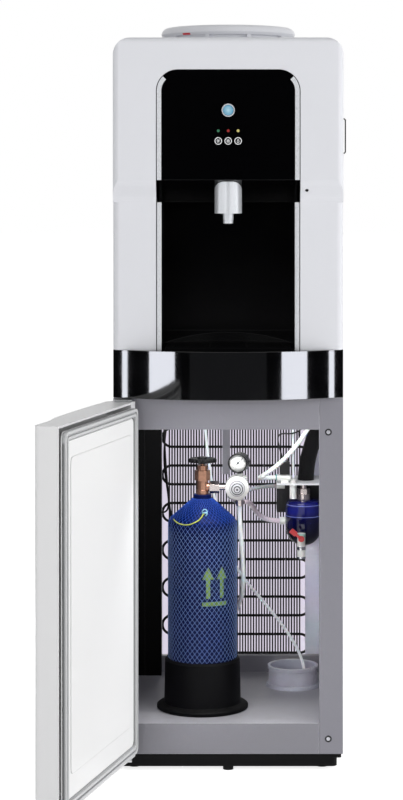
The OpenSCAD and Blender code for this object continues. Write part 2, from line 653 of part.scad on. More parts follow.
// Bottle funnel on the cold tank with a feed spike below the neck bore
module bottle_funnel() color("#e4e5e6") translate([0, bottle_y, tank_z + tank_h]) {
    difference() {
        cylinder(r = neck_r + 8, h = 40);
        translate([0, 0, 6]) cylinder(r = neck_r - 4, h = 50);
        translate([0, 0, 16]) cylinder(r = neck_r, h = 50);
        translate([8, 0, -1]) cylinder(r = 3, h = 10);
    }
    rotate_extrude() polygon([[neck_r, 38], [neck_r + 30, 44], [neck_r + 40, 44], [neck_r + 40, 46],
        [neck_r + 29, 46.6], [neck_r, 42]]);
    translate([0, 0, 5]) cylinder(r1 = 7, r2 = 3, h = 10.5);
}

module power_gland() color("#141517") difference() {
    union() {
        bar_y(gland_x, body_d - 8, body_d + sheet + 1, shelf_z + 40.5, 7);
        bar_y(gland_x, body_d + sheet, body_d + sheet + 12, shelf_z + 40.5, 9);
    }
    bar_y(gland_x, body_d - 9, body_d + sheet + 13, shelf_z + 40.5, 3.6);
}

// Steel cylinder with a coned shoulder
function shoulder(g) = concat(arc([cyl_r - 16 + g, cyl_h - 44], 16, 0, 46, 4), [[13 + g, cyl_h - 5]]);
function bottle_inside() = concat([[8, cyl_h - 8]], arc([cyl_r - 16, cyl_h - 44], 11, 46, 0, 4));
module gas_cylinder() color("#2f4168") translate([cyl_x, cyl_y, cyl_z]) rotate_extrude() polygon(concat(
    [[0, 0]], arc([cyl_r - 10, 10], 10, -90, 0, 4), shoulder(0), [[13, cyl_h], [8, cyl_h]],
    bottle_inside(), arc([cyl_r - 12, 13], 7, 0, -90, 4), [[0, 6]]));

module cylinder_boot() color("#121317") translate([cyl_x, cyl_y, floor_z]) rotate_extrude() polygon(concat(
    [[0, 0], [boot_flange - 1, 0], [boot_flange, 1], [boot_flange, 4.5], [boot_flange - 2, 6],
    [boot_flange - 4, 7], [cyl_r + boot_wall + 1.5, 9], [cyl_r + boot_wall + 1, 14]],
    [[cyl_r + boot_wall, boot_h - 3], [cyl_r + boot_wall - 2, boot_h], [cyl_r + 0.5, boot_h]],
    [[cyl_r + 0.5, boot_base + 10]], arc([cyl_r - 9.5, boot_base + 10], 10, 0, -90, 4), [[0, boot_base]]));

// Net sleeve drawn as its envelope, from the boot to the neck
module net_sleeve() color("#6f8fb0") translate([cyl_x, cyl_y, cyl_z]) rotate_extrude() polygon(concat(
    [[cyl_r + 0.4, boot_h - boot_base + gap]], shoulder(0.4), [for (i = [5:-1:0]) shoulder(1.4)[i]],
    [[cyl_r + 1.4, boot_h - boot_base + gap]]));

// Cylinder valve with its side outlet
module cylinder_valve() color("#b58a5f") translate([cyl_x, cyl_y, neck_z]) {
    cylinder(r = 9, h = 6);
    cylinder(r = 7.9, h = 21);
    translate([0, 0, 20]) cylinder(r = 11.2, h = 14.5, $fn = 6);
    translate([0, 0, 34]) cylinder(r = 7.7, h = 7.5);
    translate([0, 0, 41]) cylinder(r = 3, h = 11);
    bar_x(0, 10, 0, 10, 6);
}

// Chrome parts: regulator nut and stem, outlet block, carbonator neck
module metal_fittings() color("#d2c9c6") {
    translate([cyl_x + 10, cyl_y, port_z]) rotate([0, 90, 0]) cylinder(r = 9, h = 14.3, $fn = 6);
    bar_x(cyl_x + 24, cyl_x + 32.7, cyl_y, port_z, 4.2);
    post(block_x, cyl_y, block_z, block_z + 8.5, 5);
    for (a = [hose_turn, feed_turn]) translate(port(a, 0)) rotate([0, 90, a]) cylinder(r = 3.6, h = 9);
    post(carb_x, carb_y, bowl_top, bowl_top + 9, 10);
    translate([carb_x, carb_y, bowl_top + 8.5]) cylinder(r = 9.4, h = 8.5, $fn = 6);
    post(carb_x, carb_y, bowl_top + 16.5, plate_z, 5);
}

// Regulator: round body facing forward with two lugs, top and bottom ports
module regulator_body() color("#e9e9e8") difference() {
    union() {
        bar_y(reg_x, cyl_y - 11, cyl_y + 13, port_z, reg_r);
        bar_y(reg_x, cyl_y - 14, cyl_y - 10, port_z, reg_r - 3);
        for (a = [50, 230]) translate([reg_x, 0, port_z]) rotate([0, -a, 0])
            bar_y(reg_r - 0.5, cyl_y - 9, cyl_y + 9, 0, 4);
        post(gauge_x, cyl_y, port_z + reg_r - 2, port_z + reg_r + 3, 4.4);
        post(block_x, cyl_y, block_z + 8.5, port_z - reg_r + 3, 5);
    }
    bar_y(reg_x, cyl_y - 15, cyl_y - 2, port_z, 3 + run);
}

module at_gauge() translate([gauge_x, cyl_y, gauge_z]) rotate([0, 0, -gauge_turn]) children();

// Gauge case: a drum with a rimmed dial recess and a stem
module gauge_case() color("#141519") {
    at_gauge() difference() {
        bar_y(0, -13, 7, 0, gauge_r);
        bar_y(0, -14, -9, 0, gauge_r - 1.7);
        bar_y(0, -14, -6, 0, 0.8 + run);
    }
    difference() {
        post(gauge_x, cyl_y, port_z + reg_r + 3, gauge_z - gauge_r + 2, 3.4);
        at_gauge() bar_y(0, -14, -9, 0, gauge_r - 1.7);
    }
}

module gauge_needle() color("#1a1a1c") at_gauge() {
    bar_y(0, -10.2, -6.3, 0, 0.8);
    bar_y(0, -10.4, -9.6, 0, 1.8);
    rotate([0, 45, 0]) slab(-0.45, 0.45, -10.3, -9.7, -3.5, gauge_r - 4.2);
}

// Pump block under the plate and the coil of the inlet valve
module carbonator_head() color("#131418") {
    slab(plate_x + 1, carb_x + 34, pump_y, pump_y + pump_d, plate_z - pump_h, plate_z);
    slab(plate_x + 4, plate_x + 19, valve_y - 7.5, valve_y + 7.5, plate_z + 15.5 + gap, plate_z + 34);
}

// Rounded carbonator bowl
module carbonator_bowl() color("#161d3d") translate([carb_x, carb_y, bowl_z]) rotate_extrude()
    polygon(concat([[0, 0]], arc([bowl_r - 19, 19], 19, -90, 0, 7),
        [[bowl_r, 58], [bowl_r - 1.5, 60], [bowl_r - 1.5, 64]],
        arc([bowl_r - 5.5, 64], 4, 0, 90, 4), [[0, 68]]));

// Plate on the right side wall that carries the carbonator
module carbonator_plate() color("#dfe0e2") difference() {
    union() {
        slab(plate_x, hw - sheet, valve_y - 8, pump_y + pump_d, plate_z, plate_z + plate_t);
        slab(hw - sheet - plate_t, hw - sheet, valve_y - 8, pump_y + pump_d, plate_z, plate_z + 26);
    }
    post(check_x, check_y, plate_z - 1, plate_z + plate_t + 1, 5.2 + gap);
}

// White fittings: check valve, inlet valve, elbow, bowl port, rail inlet and drain cock
module line_fittings() color("#eeeeec") {
    post(check_x, check_y, plate_z - 21, plate_z + 4, 5.2);
    post(check_x, check_y, plate_z + 3, plate_z + 7.6, 4);
    bar_x(plate_x, plate_x + 20, valve_y, plate_z + 10.5, 5);
    slab(plate_x + 6, plate_x + 17, valve_y - 4, valve_y + 4, plate_z + plate_t, plate_z + 10);
    bar_x(plate_x, plate_x + 12, carb_y, plate_z - 4.5, 4);
    slab(plate_x + 3, plate_x + 10, carb_y - 3, carb_y + 3, plate_z - 3, plate_z);
    bar_x(carb_x - bowl_r - 8, carb_x - bowl_r - gap, carb_y, bowl_z + 37, 5.5);
    bar_y(cyl_x - 3, rail_y - 16, rail_y, floor_z + 14, 5);
    bar_y(cock_x, cock_y, carb_y - bowl_r - gap, bowl_z + 18, 4);
    post(cock_x, cock_y, bowl_z - 12, bowl_z + 25, 6);
    bar_y(cock_x, cock_y - 9, cock_y, bowl_z + 18, 2);
}

// Wing lever of the drain cock, turned up
module cock_lever() color("#c8232c") translate([cock_x, 0, bowl_z + 18]) rotate([0, 40, 0]) difference() {
    union() {
        bar_y(0, cock_y - 10, cock_y - 6.4, 0, 4.4);
        slab(-14, 0, cock_y - 9.4, cock_y - 7, -2, 2);
        slab(-20, -10, cock_y - 9.6, cock_y - 6.8, -3.8, 3.8);
    }
    bar_y(0, cock_y - 9.2, cock_y - 5, 0, 2 + run);
}

module drip_cup() color("#a9abb8") translate([cup_x, cup_y, floor_z]) difference() {
    union() {
        cylinder(r1 = cup_r + 3, r2 = cup_r + 1.4, h = 5);
        cylinder(r = cup_r - 1.6, h = cup_h);
        translate([0, 0, cup_h - 5]) cylinder(r = cup_r, h = 5);
    }
    translate([0, 0, 3]) cylinder(r = cup_r - 4.2, h = 40);
}

module gas_tubes() color("#e6e8ea") {
    tube(gas_route, 13, 3.2, 10, [1, 0.25, 0]);
    tube(feed_route, 12, 2.8, 10, [0, 0, 1]);
}

module drain_tube() color("#e1e6e8") tube(drain_route, 20, 2.1, 10, [0, 1, 0]);

module water_tubes() color("#f0f1f1") {
    tube(supply_route, 8, 3.2, 10, [1, -1, -1]);
    tube(rise_route, 14, 2, 8, [1, 0, 0]);
}

module braided_hose() color("#d9c2c4") tube(hose_route, 12, 3.6, 12, [0, 0, 1]);

// Foam sleeved hose and the black leads of the condenser and of the valve coil
module foam_hose() color("#17181b") {
    tube(foam_route, 10, 12, 12, [0, 1, 0]);
    tube(lead_a, 12, 1.4, 8, [0, 1, 0]);
    tube(lead_b, 16, 1.4, 8, [0, 1, 0]);
    tube(lead_c, 14, 1.1, 8, [0, 1, 0]);
    tube(lead_d, 14, 1.1, 8, [0, 1, 0]);
}

// Door drawn shut, then swung open about the hinge
module swung() translate([hinge_x, hinge_y, 0]) rotate(-door_open)
    translate([-hinge_x, -hinge_y, 0]) children();

// Plan of the door: full bulge towards the hinge, a finger scoop near the free edge
function door_front(x) = shell_y - door_t - door_bulge * (x < 0.35 * door_hw
    ? sqrt(max(0, 1 - pow((x + 0.2 * door_hw) / (0.95 * door_hw), 2)))
    : 0.815 * (1 - ease(min(1, (x / door_hw - 0.35) / 0.3))));
function door_plan(w) = concat(
    [[door_hw - w, shell_y + w], [-door_hw + w, shell_y + w]],
    arc([-door_hw + 8, shell_y - door_t + 7], 8 - w, 180, 250, 5),
    [for (i = [1:23]) let (x = door_hw * (-1 + 2 * i / 24)) [x, door_front(x) + w]],
    arc([door_hw - 8, shell_y - door_t + 8], 8 - w, 280, 360, 5));

module door_shell() color("#dadbdd") swung() difference() {
    translate([0, 0, door_z]) linear_extrude(door_top - door_z) polygon(door_plan(0));
    difference() {
        translate([0, 0, door_z + wall]) linear_extrude(door_top - door_z - 2 * wall)
            polygon(door_plan(wall));
        slab(-hw, hinge_x + 8, -hw, hw, door_z, door_z + 16);
        slab(-hw, hinge_x + 8, -hw, hw, door_top - 16, door_top);
    }
    post(hinge_x, hinge_y, door_z - 1, door_z + 11, hinge_r + run);
    post(hinge_x, hinge_y, door_top - 11, door_top + 1, hinge_r + run);
}

// White liner with a raised field
module door_liner() color("#f4f4f4") swung() {
    through(shell_y, shell_y + 2) round_rect(-seal_hw, seal_hw, door_z + 8, door_top - 8, 10);
    through(shell_y + 1, shell_y + 4.5) round_rect(-seal_hw + seal_w + 1, seal_hw - seal_w - 1,
        door_z + 21, door_top - 21, 8);
    through(shell_y + 4, shell_y + 5.5) round_rect(-seal_hw + seal_w + 12, seal_hw - seal_w - 12,
        door_z + 50, door_top - 42, 8);
}

// Bellows gasket: a frame with two ribs
module seal_line(a) round_rect(-seal_hw + a, seal_hw - a, door_z + 8 + a, door_top - 8 - a, 9 - a / 2);
module seal_frame(y0, y1, a, b) difference() {
    through(y0, y1) seal_line(a);
    through(y0 - 1, y1 + 1) seal_line(b);
}
module door_gasket() color("#b9babd") swung() {
    seal_frame(shell_y + 2, shell_y + 4.5, 0, seal_w);
    seal_frame(shell_y + 4, -2 * gap, 0.5, 4);
    seal_frame(shell_y + 4, -2 * gap, 7, 10.5);
}

// Handwheel with a hub and a fluted rim
module handwheel() color("#0f1012") translate([cyl_x, cyl_y, neck_z + 44]) difference() {
    union() {
        cylinder(r = 7, h = 9.5);
        translate([0, 0, 2.4]) cylinder(r = 20.5, h = 3.8);
        translate([0, 0, 6]) cylinder(r1 = 20.5, r2 = 18, h = 1.6);
    }
    for (a = [0:24:359]) rotate(a) translate([22.5, 0, -1]) cylinder(r = 3.2, h = 12, $fn = 12);
    for (a = [20, 140, 260]) rotate(a) translate([11.5, 0, -1]) cylinder(r = 2.6, h = 12, $fn = 24);
    translate([0, 0, -1]) cylinder(r = 3 + run, h = 9.2);
}

// Stepped adjusting knob of the regulator
module adjusting_screw() color("#c9cbce") {
    bar_y(reg_x, cyl_y - 18, cyl_y - 14.4, port_z, 11);
    bar_y(reg_x, cyl_y - 22, cyl_y - 17.5, port_z, 9);
    bar_y(reg_x, cyl_y - 25.5, cyl_y - 21.5, port_z, 6.5);
    bar_y(reg_x, cyl_y - 28, cyl_y - 25, port_z, 4);
    bar_y(reg_x, cyl_y - 15, cyl_y - 3, port_z, 3);
}

// A push button: cap in front of the panel, shaft through it, collar behind it
module push_button(x, z, r) {
    bar_y(x, face_y - 3.4, face_y - 2.9, z, r - 1);
    bar_y(x, face_y - 3, face_y - 2.6, z, r);
    bar_y(x, face_y - 2.8, face_y + wall + 1, z, r - 1);
    bar_y(x, face_y + wall + gap, face_y + wall + 1.3, z, r + 1.2);
}

module pour_button() color("#a9c6dc") push_button(0, pour_z, pour_r);
module key(k) {
    bar_y(k * key_pitch, face_y - 1.9, face_y - 1.6, key_z, key_r);
    bar_y(k * key_pitch, face_y - 1.7, face_y + wall + 1, key_z, key_r - 0.8);
    bar_y(k * key_pitch, face_y + wall + gap, face_y + wall + 1.3, key_z, key_r + 0.6);
}
module cold_button() color("#e6e6e6") key(-1);
module hot_button() color("#e6e6e6") key(0);
module ambient_button() color("#e6e6e6") key(1);

// Bottle collar: spigot in the top cover, grip slots in front, rounded rim
module bottle_collar() color("#d3d5da") translate([0, bottle_y, top_z]) difference() {
    rotate_extrude() polygon(concat(
        [[collar_r - 24, -10], [collar_r - 7, -10], [collar_r - 7, gap], [collar_r - 4, gap],
        [collar_r - 3, 10]], arc([collar_r - 10, collar_h - 10], 10, 0, 90, 6),
        [[collar_r - 13, collar_h], [collar_r - 16, collar_h - 3]]));
    for (a = [-37, 0, 37]) rotate(a - 106.5) rotate_extrude(angle = 33)
        translate([collar_r - 9, 1.5]) square([20, 9]);
}

// Drip basin hung in the well by its flange
module drip_basin() color("#141416") {
    difference() {
        translate([0, 0, tray_z - 32]) linear_extrude(33) well_plan(-0.5);
        translate([0, 0, tray_z - 30]) linear_extrude(40) well_plan(-2.5);
    }
    translate([0, 0, tray_z + gap]) linear_extrude(1.7) difference() {
        well_plan(2);
        well_plan(-2.5);
    }
}

module drip_grille() color("#1a1b1d") difference() {
    translate([0, 0, tray_z + 2 + gap]) linear_extrude(2) well_plan(1);
    for (i = [0:floor((alcove_d - 19) / 9)]) for (k = [-1, 0, 1])
        translate([k * slot_w - slot_w / 2 + 1.5, 9 * i - 15, tray_z]) cube([slot_w - 3, 4.5, 9]);
}

// Mains rocker: a roller with two flats, held in the back panel
module power_switch() color("#b5161c") intersection() {
    bar_x(switch_x - 6, switch_x + 6, body_d, shelf_z + 40.5, 9);
    slab(switch_x - 7, switch_x + 7, body_d - 5, body_d + 7, shelf_z + 31, shelf_z + 50);
}

// The part is drawn from the cabinet face and stood on its centre foot
module stand() translate([0, -foot_y, 0]) children();

stand() base_plate();
stand() feet();
stand() left_side_panel();
stand() right_side_panel();
stand() machine_shelf();
stand() cabinet_floor();
stand() rear_braces();
stand() cable_duct();
stand() stile_screws();
stand() hinge_brackets();
stand() condenser_tube();
stand() condenser_wires();
stand() compressor();
stand() water_tanks();
stand() back_panel();
stand() front_housing();
stand() top_cover();
stand() control_panel();
stand() chrome_trims();
stand() alcove_liner();
stand() tap_cover();
stand() tap_nozzle();
stand() indicator_lamps();
stand() control_board();
stand() dispensing_valves();
stand() drip_shroud();
stand() bottle_funnel();
stand() power_gland();
stand() gas_cylinder();
stand() cylinder_boot();
stand() net_sleeve();
stand() cylinder_valve();
stand() metal_fittings();
stand() regulator_body();
stand() gauge_case();
stand() carbonator_head();
stand() carbonator_bowl();
stand() carbonator_plate();
stand() line_fittings();
stand() drip_cup();
stand() gas_tubes();
stand() drain_tube();
stand() water_tubes();
stand() braided_hose();
stand() foam_hose();
stand() door_shell();
stand() door_liner();
stand() door_gasket();
stand() handwheel();
stand() adjusting_screw();
stand() gauge_needle();
stand() cock_lever();
stand() pour_button();
stand() cold_button();
stand() hot_button();
stand() ambient_button();
stand() bottle_collar();
stand() drip_basin();
stand() drip_grille();
stand() power_switch();
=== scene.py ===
# %% [markdown]
# # A floor-standing water dispenser with its soda cabinet open
#
# The solids come from the part's own source, as a fixed frame of named bodies. This lesson dresses that
# frame: it sets the camera, lays the tubes, gives every piece a finish and adds what is too soft or too
# fine for the solids, such as the net on the gas cylinder. Blender works in metres, and so do the numbers
# for shaders, lines' thicknesses and the studio. Places and profiles of pieces are written in millimetres
# from the cabinet's front face, as a fitter would measure, and turned into metres by one helper.

# %% Load the frame
import json
from math import cos, pi, radians, sin, tan

import bpy
import numpy as np
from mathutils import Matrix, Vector


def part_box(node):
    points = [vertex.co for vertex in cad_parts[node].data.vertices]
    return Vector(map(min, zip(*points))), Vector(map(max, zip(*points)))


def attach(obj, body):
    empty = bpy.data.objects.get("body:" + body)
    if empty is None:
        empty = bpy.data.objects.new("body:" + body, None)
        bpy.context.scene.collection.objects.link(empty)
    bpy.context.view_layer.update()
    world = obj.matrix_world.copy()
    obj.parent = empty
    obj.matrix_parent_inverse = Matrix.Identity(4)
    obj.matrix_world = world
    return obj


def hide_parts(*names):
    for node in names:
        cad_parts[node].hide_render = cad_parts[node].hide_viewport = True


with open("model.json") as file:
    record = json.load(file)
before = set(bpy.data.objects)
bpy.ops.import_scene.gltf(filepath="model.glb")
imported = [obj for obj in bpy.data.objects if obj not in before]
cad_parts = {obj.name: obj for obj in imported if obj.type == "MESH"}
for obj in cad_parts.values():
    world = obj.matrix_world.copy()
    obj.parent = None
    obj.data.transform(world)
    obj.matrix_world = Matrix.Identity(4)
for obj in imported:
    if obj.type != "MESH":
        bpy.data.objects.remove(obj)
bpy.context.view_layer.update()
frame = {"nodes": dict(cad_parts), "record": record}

FACE_TO_ORIGIN = np.array([0.0, -12.0, 0.0])     # the origin is under the front centre foot


def place(points):
    """Millimetres from the cabinet's face to metres in the row frame: p -> (p + shift) / 1000."""
    return (np.asarray(points, float) + FACE_TO_ORIGIN) * 0.001


# %% [markdown]
# ## The camera
#
# The photograph looks straight at the front, a little above the tap, with a long lens. Uprights stay
# upright, so nearly all of the drop to the floor is made with lens shift, as with a view camera, and only a
# trace with tilt. The scale is fixed by the cabinet's width on the front face.

# %% Camera from the picture's own measures
IMAGE_W, IMAGE_H = 403, 800
EYE = (0.0, -3000.0, 824.0)          # distance from the face, and the height of the horizon
AXIS_PX = (228.2, 180.0)             # where the level line of sight meets the picture
PX_PER_RADIAN = 2157.0
TILT = radians(0.5)
SENSOR = 36.0

camera_data = bpy.data.cameras.new("studio_camera")
camera_data.sensor_width = SENSOR
camera_data.lens = SENSOR * PX_PER_RADIAN / IMAGE_H
camera_data.shift_x = (IMAGE_W / 2 - AXIS_PX[0]) / IMAGE_H
camera_data.shift_y = (AXIS_PX[1] + PX_PER_RADIAN * tan(TILT) - IMAGE_H / 2) / IMAGE_H
camera = bpy.data.objects.new("studio_camera", camera_data)
camera.location = place(EYE)
camera.rotation_euler = (pi / 2 - TILT, 0.0, 0.0)
bpy.context.collection.objects.link(camera)
bpy.context.scene.camera = camera
shifts = [round(s, 3) for s in (camera_data.shift_x, camera_data.shift_y)]
print("lens", round(camera_data.lens, 1), "mm, shift", shifts)

# %% [markdown]
# ## From a grid of points to a mesh
#
# Nearly every new piece here is a grid: rows along its length, columns around it. A tube, a turned knob and
# a printed patch differ only in the formula that fills the grid. So one helper turns a grid into faces. A
# closed shape that is inside out would bake dark, so the sign of its volume is checked, and an open patch is
# turned away from a point behind it.

# %% Grid helpers
def xyz(x, y, z):
    """Three arrays or numbers, spread to one shape and joined as points."""
    return np.stack(np.broadcast_arrays(x, y, z), -1)


def run_of(line):
    """Length from the start of a line to each of its points: the running sum of |step|."""
    return np.concatenate([[0], np.cumsum(np.linalg.norm(np.diff(line, axis=0), axis=1))])


def quads_of(rows, columns, wrap):
    """Index grid to quads: (i, j), (i, j+1), (i+1, j+1), (i+1, j), with j wrapped round if asked."""
    index = np.arange(rows * columns).reshape(rows, columns)
    near, far = index[:-1], index[1:]
    if wrap:
        corners = (near, np.roll(near, -1, 1), np.roll(far, -1, 1), far)
    else:
        corners = (near[:, :-1], near[:, 1:], far[:, 1:], far[:, :-1])
    return np.stack(corners, -1).reshape(-1, 4)


def inside_out(flat, quads, behind):
    """Sum of area normals times the way from a point behind: below zero, the faces look inwards."""
    a, b, c, d = (flat[quads[:, k]] for k in range(4))
    return np.einsum("ij,ij->", np.cross(c - a, d - b), (a + b + c + d) / 4 - behind) < 0


print("grid helpers ready")

# %% [markdown]
# A piece may need many grids, such as one for each wire, and is still one object. It also gets its finish,
# the body that it moves with, and the solids that it stands for, if any.

# %% Piece helper
def make_piece(name, grids, coat, body="frame", wrap=True, caps=True, uv=False, behind=None,
               replaces=()):
    """One object from one or more grids of shape (rows, columns, 3), riding on a body."""
    verts, faces, uvs, start = [], [], [], 0
    for grid in grids:
        rows, columns, _ = grid.shape
        quads = quads_of(rows, columns, wrap)
        flat = grid.reshape(-1, 3)
        index = np.arange(rows * columns).reshape(rows, columns)
        ends = [index[0, ::-1].tolist(), index[-1].tolist()] if caps else []
        if inside_out(flat, quads, flat.mean(0) if behind is None else behind):
            quads, ends = quads[:, ::-1], [end[::-1] for end in ends]
        faces += (quads + start).tolist() + [[start + i for i in end] for end in ends]
        if uv:
            turn, run = np.arange(columns) / columns, run_of(grid.mean(1))
            uvs.append(np.stack(np.broadcast_arrays(turn[None], run[:, None]), -1).reshape(-1, 2))
        verts.append(flat)
        start += len(flat)
    mesh = bpy.data.meshes.new(name)
    mesh.from_pydata(np.concatenate(verts).tolist(), [], faces)
    if uv:
        loops = np.empty(len(mesh.loops), int)
        mesh.loops.foreach_get("vertex_index", loops)
        layer = mesh.uv_layers.new(name="along")
        layer.data.foreach_set("uv", np.concatenate(uvs)[loops].ravel())
    mesh.polygons.foreach_set("use_smooth", np.full(len(mesh.polygons), True))
    mesh.materials.append(coat)
    mesh.update()
    piece = bpy.data.objects.new(name, mesh)
    bpy.context.collection.objects.link(piece)
    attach(piece, body)
    if replaces:
        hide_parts(*replaces)
    print(name, len(mesh.vertices), "points")
    return piece


# %% [markdown]
# ## Nodes with less typing
#
# A material in Blender is a small graph. Making it by hand in code takes many lines, so these helpers add a
# node, link its inputs and give back the socket that is wanted. Colours are written as they look on a
# screen, 0 to 255, and turned into linear light once.

# %% Node helpers
def srgb(red, green, blue):
    """Screen colour 0..255 to linear light: c <= 0.04045 ? c/12.92 : ((c+0.055)/1.055)^2.4."""
    c = np.array([red, green, blue]) / 255.0
    return (*np.where(c <= 0.04045, c / 12.92, ((c + 0.055) / 1.055) ** 2.4), 1.0)


def add(tree, kind, inputs=None, **settings):
    """Adds a node. An input is a plain value, or a socket to link from."""
    node = tree.nodes.new(kind)
    for key, value in settings.items():
        setattr(node, key, value)
    for key, value in (inputs or {}).items():
        if isinstance(value, bpy.types.NodeSocket):
            tree.links.new(value, node.inputs[key])
        else:
            node.inputs[key].default_value = value
    return node


def calc(tree, operation, first, second=0.0):
    """One arithmetic step; gives its output socket."""
    return add(tree, "ShaderNodeMath", {0: first, 1: second}, operation=operation).outputs[0]


def vec(tree, operation, first, second=(0.0, 0.0, 0.0)):
    """One vector step; gives a number for a length or a dot product, else a vector."""
    node = add(tree, "ShaderNodeVectorMath", {0: first, 1: second}, operation=operation)
    return node.outputs["Value" if operation in ("LENGTH", "DOT_PRODUCT") else "Vector"]


def remap(tree, value, low, high, to_low=0.0, to_high=1.0):
    """Straight line from low..high to to_low..to_high, held at the ends."""
    keys = {"Value": value, "From Min": low, "From Max": high, "To Min": to_low, "To Max": to_high}
    return add(tree, "ShaderNodeMapRange", keys).outputs[0]


def tint(tree, amount, first, second, blend="MIX"):
    """Mix of two colours; gives the colour socket."""
    keys = {0: amount, 6: first, 7: second}
    return add(tree, "ShaderNodeMix", keys, data_type="RGBA", blend_type=blend).outputs[2]


print("node helpers ready")

# %% [markdown]
# Most patterns ask where a point is, or which way the surface looks there. The place is taken in the piece's
# own Object coordinates, so a pattern stays on its piece when the piece moves.

# %% Place, direction and noise
def spot_on(tree):
    """The place on the piece, in its own Object coordinates."""
    return add(tree, "ShaderNodeTexCoord").outputs["Object"]


def normal_on(tree):
    """The way the surface looks, before any bump."""
    return add(tree, "ShaderNodeNewGeometry").outputs["Normal"]


def split(tree, vector, axis):
    """One part, X, Y or Z, of a vector."""
    return add(tree, "ShaderNodeSeparateXYZ", {0: vector}).outputs[axis]


def by_place(tree, axis, low, high):
    """0 to 1 from one place along X, Y or Z to another."""
    return remap(tree, split(tree, spot_on(tree), axis), low, high)


def by_facing(tree, axis, low, high):
    """0 to 1 as the normal's X, Y or Z part goes from low to high."""
    return remap(tree, split(tree, normal_on(tree), axis), low, high)


def off_axis(tree, centre):
    """Distance from an axis that points forward through a centre in mm: |(p - c) * (1, 0, 1)|."""
    way = vec(tree, "SUBTRACT", spot_on(tree), tuple(place(centre)))
    return vec(tree, "LENGTH", vec(tree, "MULTIPLY", way, (1.0, 0.0, 1.0)))


def noise(tree, vector, scale, detail, rough=0.5):
    """Cloudy noise from 0 to 1."""
    keys = {"Vector": vector, "Scale": scale, "Detail": detail, "Roughness": rough}
    return add(tree, "ShaderNodeTexNoise", keys).outputs[0]


print("place helpers ready")

# %% [markdown]
# ## Effects that many finishes share
#
# Mouldings, paint and rubber differ in colour, but the things that make them look real are the same few:
# a fine grain, patches where hands have polished or dulled the surface, dust on what faces up, and edges
# that are never quite sharp. The dust layer is also used as a painted sheen on what faces up. Each is a node
# group, built once. A group only gives values, colours and normals, and the shader itself stays in each
# material.

# %% Grain, smudges, dust, edges and brushing
NUMBER, VECTOR = "NodeSocketFloat", "NodeSocketVector"


def new_group(name, inputs, outputs):
    """Empty node group with named sockets."""
    tree = bpy.data.node_groups.new(name, "ShaderNodeTree")
    for label, kind, default in inputs:
        tree.interface.new_socket(label, in_out="INPUT", socket_type=kind).default_value = default
    for label, kind in outputs:
        tree.interface.new_socket(label, in_out="OUTPUT", socket_type=kind)
    return tree, tree.nodes.new("NodeGroupInput").outputs, tree.nodes.new("NodeGroupOutput").inputs


grain, given, result = new_group("moulding_grain", [("Scale", NUMBER, 900.0), ("Spread", NUMBER, 0.04)],
                                 [("Tone", NUMBER), ("Height", NUMBER)])
speck = noise(grain, spot_on(grain), given["Scale"], 2.0, 0.6)
sway = calc(grain, "MULTIPLY", calc(grain, "SUBTRACT", speck, 0.5), given["Spread"])
grain.links.new(calc(grain, "ADD", 1.0, calc(grain, "MULTIPLY", sway, 2.0)), result["Tone"])
grain.links.new(speck, result["Height"])

smudge, given, result = new_group("handled_patches", [("Scale", NUMBER, 9.0)], [("Mask", NUMBER)])
cloud = noise(smudge, spot_on(smudge), given["Scale"], 5.0, 0.65)
smudge.links.new(remap(smudge, cloud, 0.3, 0.7), result["Mask"])

# Dust on faces that look up; with a tint of its own the same mask is a painted sheen.
dust, given, result = new_group("settled_dust_and_sheen", [("Amount", NUMBER, 0.3)], [("Mask", NUMBER)])
drift = remap(dust, noise(dust, spot_on(dust), 60.0, 6.0, 0.7), 0.35, 0.7, 0.2, 1.0)
lying = calc(dust, "MULTIPLY", by_facing(dust, "Z", 0.3, 1.0), drift)
dust.links.new(calc(dust, "MULTIPLY", lying, given["Amount"]), result["Mask"])

edges, given, result = new_group("softened_edges", [("Radius", NUMBER, 0.0008)],
                                 [("Edge", NUMBER), ("Normal", VECTOR)])
rounded = add(edges, "ShaderNodeBevel", {"Radius": given["Radius"]}, samples=6).outputs[0]
alike = vec(edges, "DOT_PRODUCT", rounded, normal_on(edges))
edges.links.new(remap(edges, alike, 0.98, 0.75), result["Edge"])
edges.links.new(rounded, result["Normal"])

brushed, given, result = new_group("brushed_lines", [("Stretch", VECTOR, (1.0, 1.0, 40.0)),
                                                     ("Scale", NUMBER, 60.0)], [("Lines", NUMBER)])
drawn_out = vec(brushed, "MULTIPLY", spot_on(brushed), given["Stretch"])
streak = noise(brushed, drawn_out, given["Scale"], 3.0)
brushed.links.new(remap(brushed, streak, 0.3, 0.7), result["Lines"])
print("groups:", [g.name for g in bpy.data.node_groups])

# %% [markdown]
# ## One recipe for a finish
#
# A finish starts from one colour, then grain changes its tone, dust and pale edges are laid over it, and
# patches change its roughness. On some finishes the dust layer is a painted sheen, and the pale edges are
# partly painted highlights. Where the colour changes over a piece, a small `paint` function gives it
# instead. Numbers that are the same all over stay on the shader's own sockets, because an exporter can't
# follow them through other nodes.

# %% Recipe
SMUDGE_SCALE, BRUSH_TONE = 11.0, (0.9, 1.08)     # patches per metre, and how brushing changes the tone
GRAIN_DEPTH, LEAST_ROUGH = 0.0004, 0.02


def new_material(name, plain):
    """Material, node tree and shader, with plain values on the shader's own sockets."""
    material = bpy.data.materials.new(name)
    material.use_nodes = True
    shader = material.node_tree.nodes["Principled BSDF"]
    for socket, value in plain.items():
        shader.inputs[socket].default_value = value
    return material, material.node_tree, shader.inputs


def use(tree, group, **inputs):
    """Places a shared group in a material with this material's own values."""
    return add(tree, "ShaderNodeGroup", inputs, node_tree=group).outputs


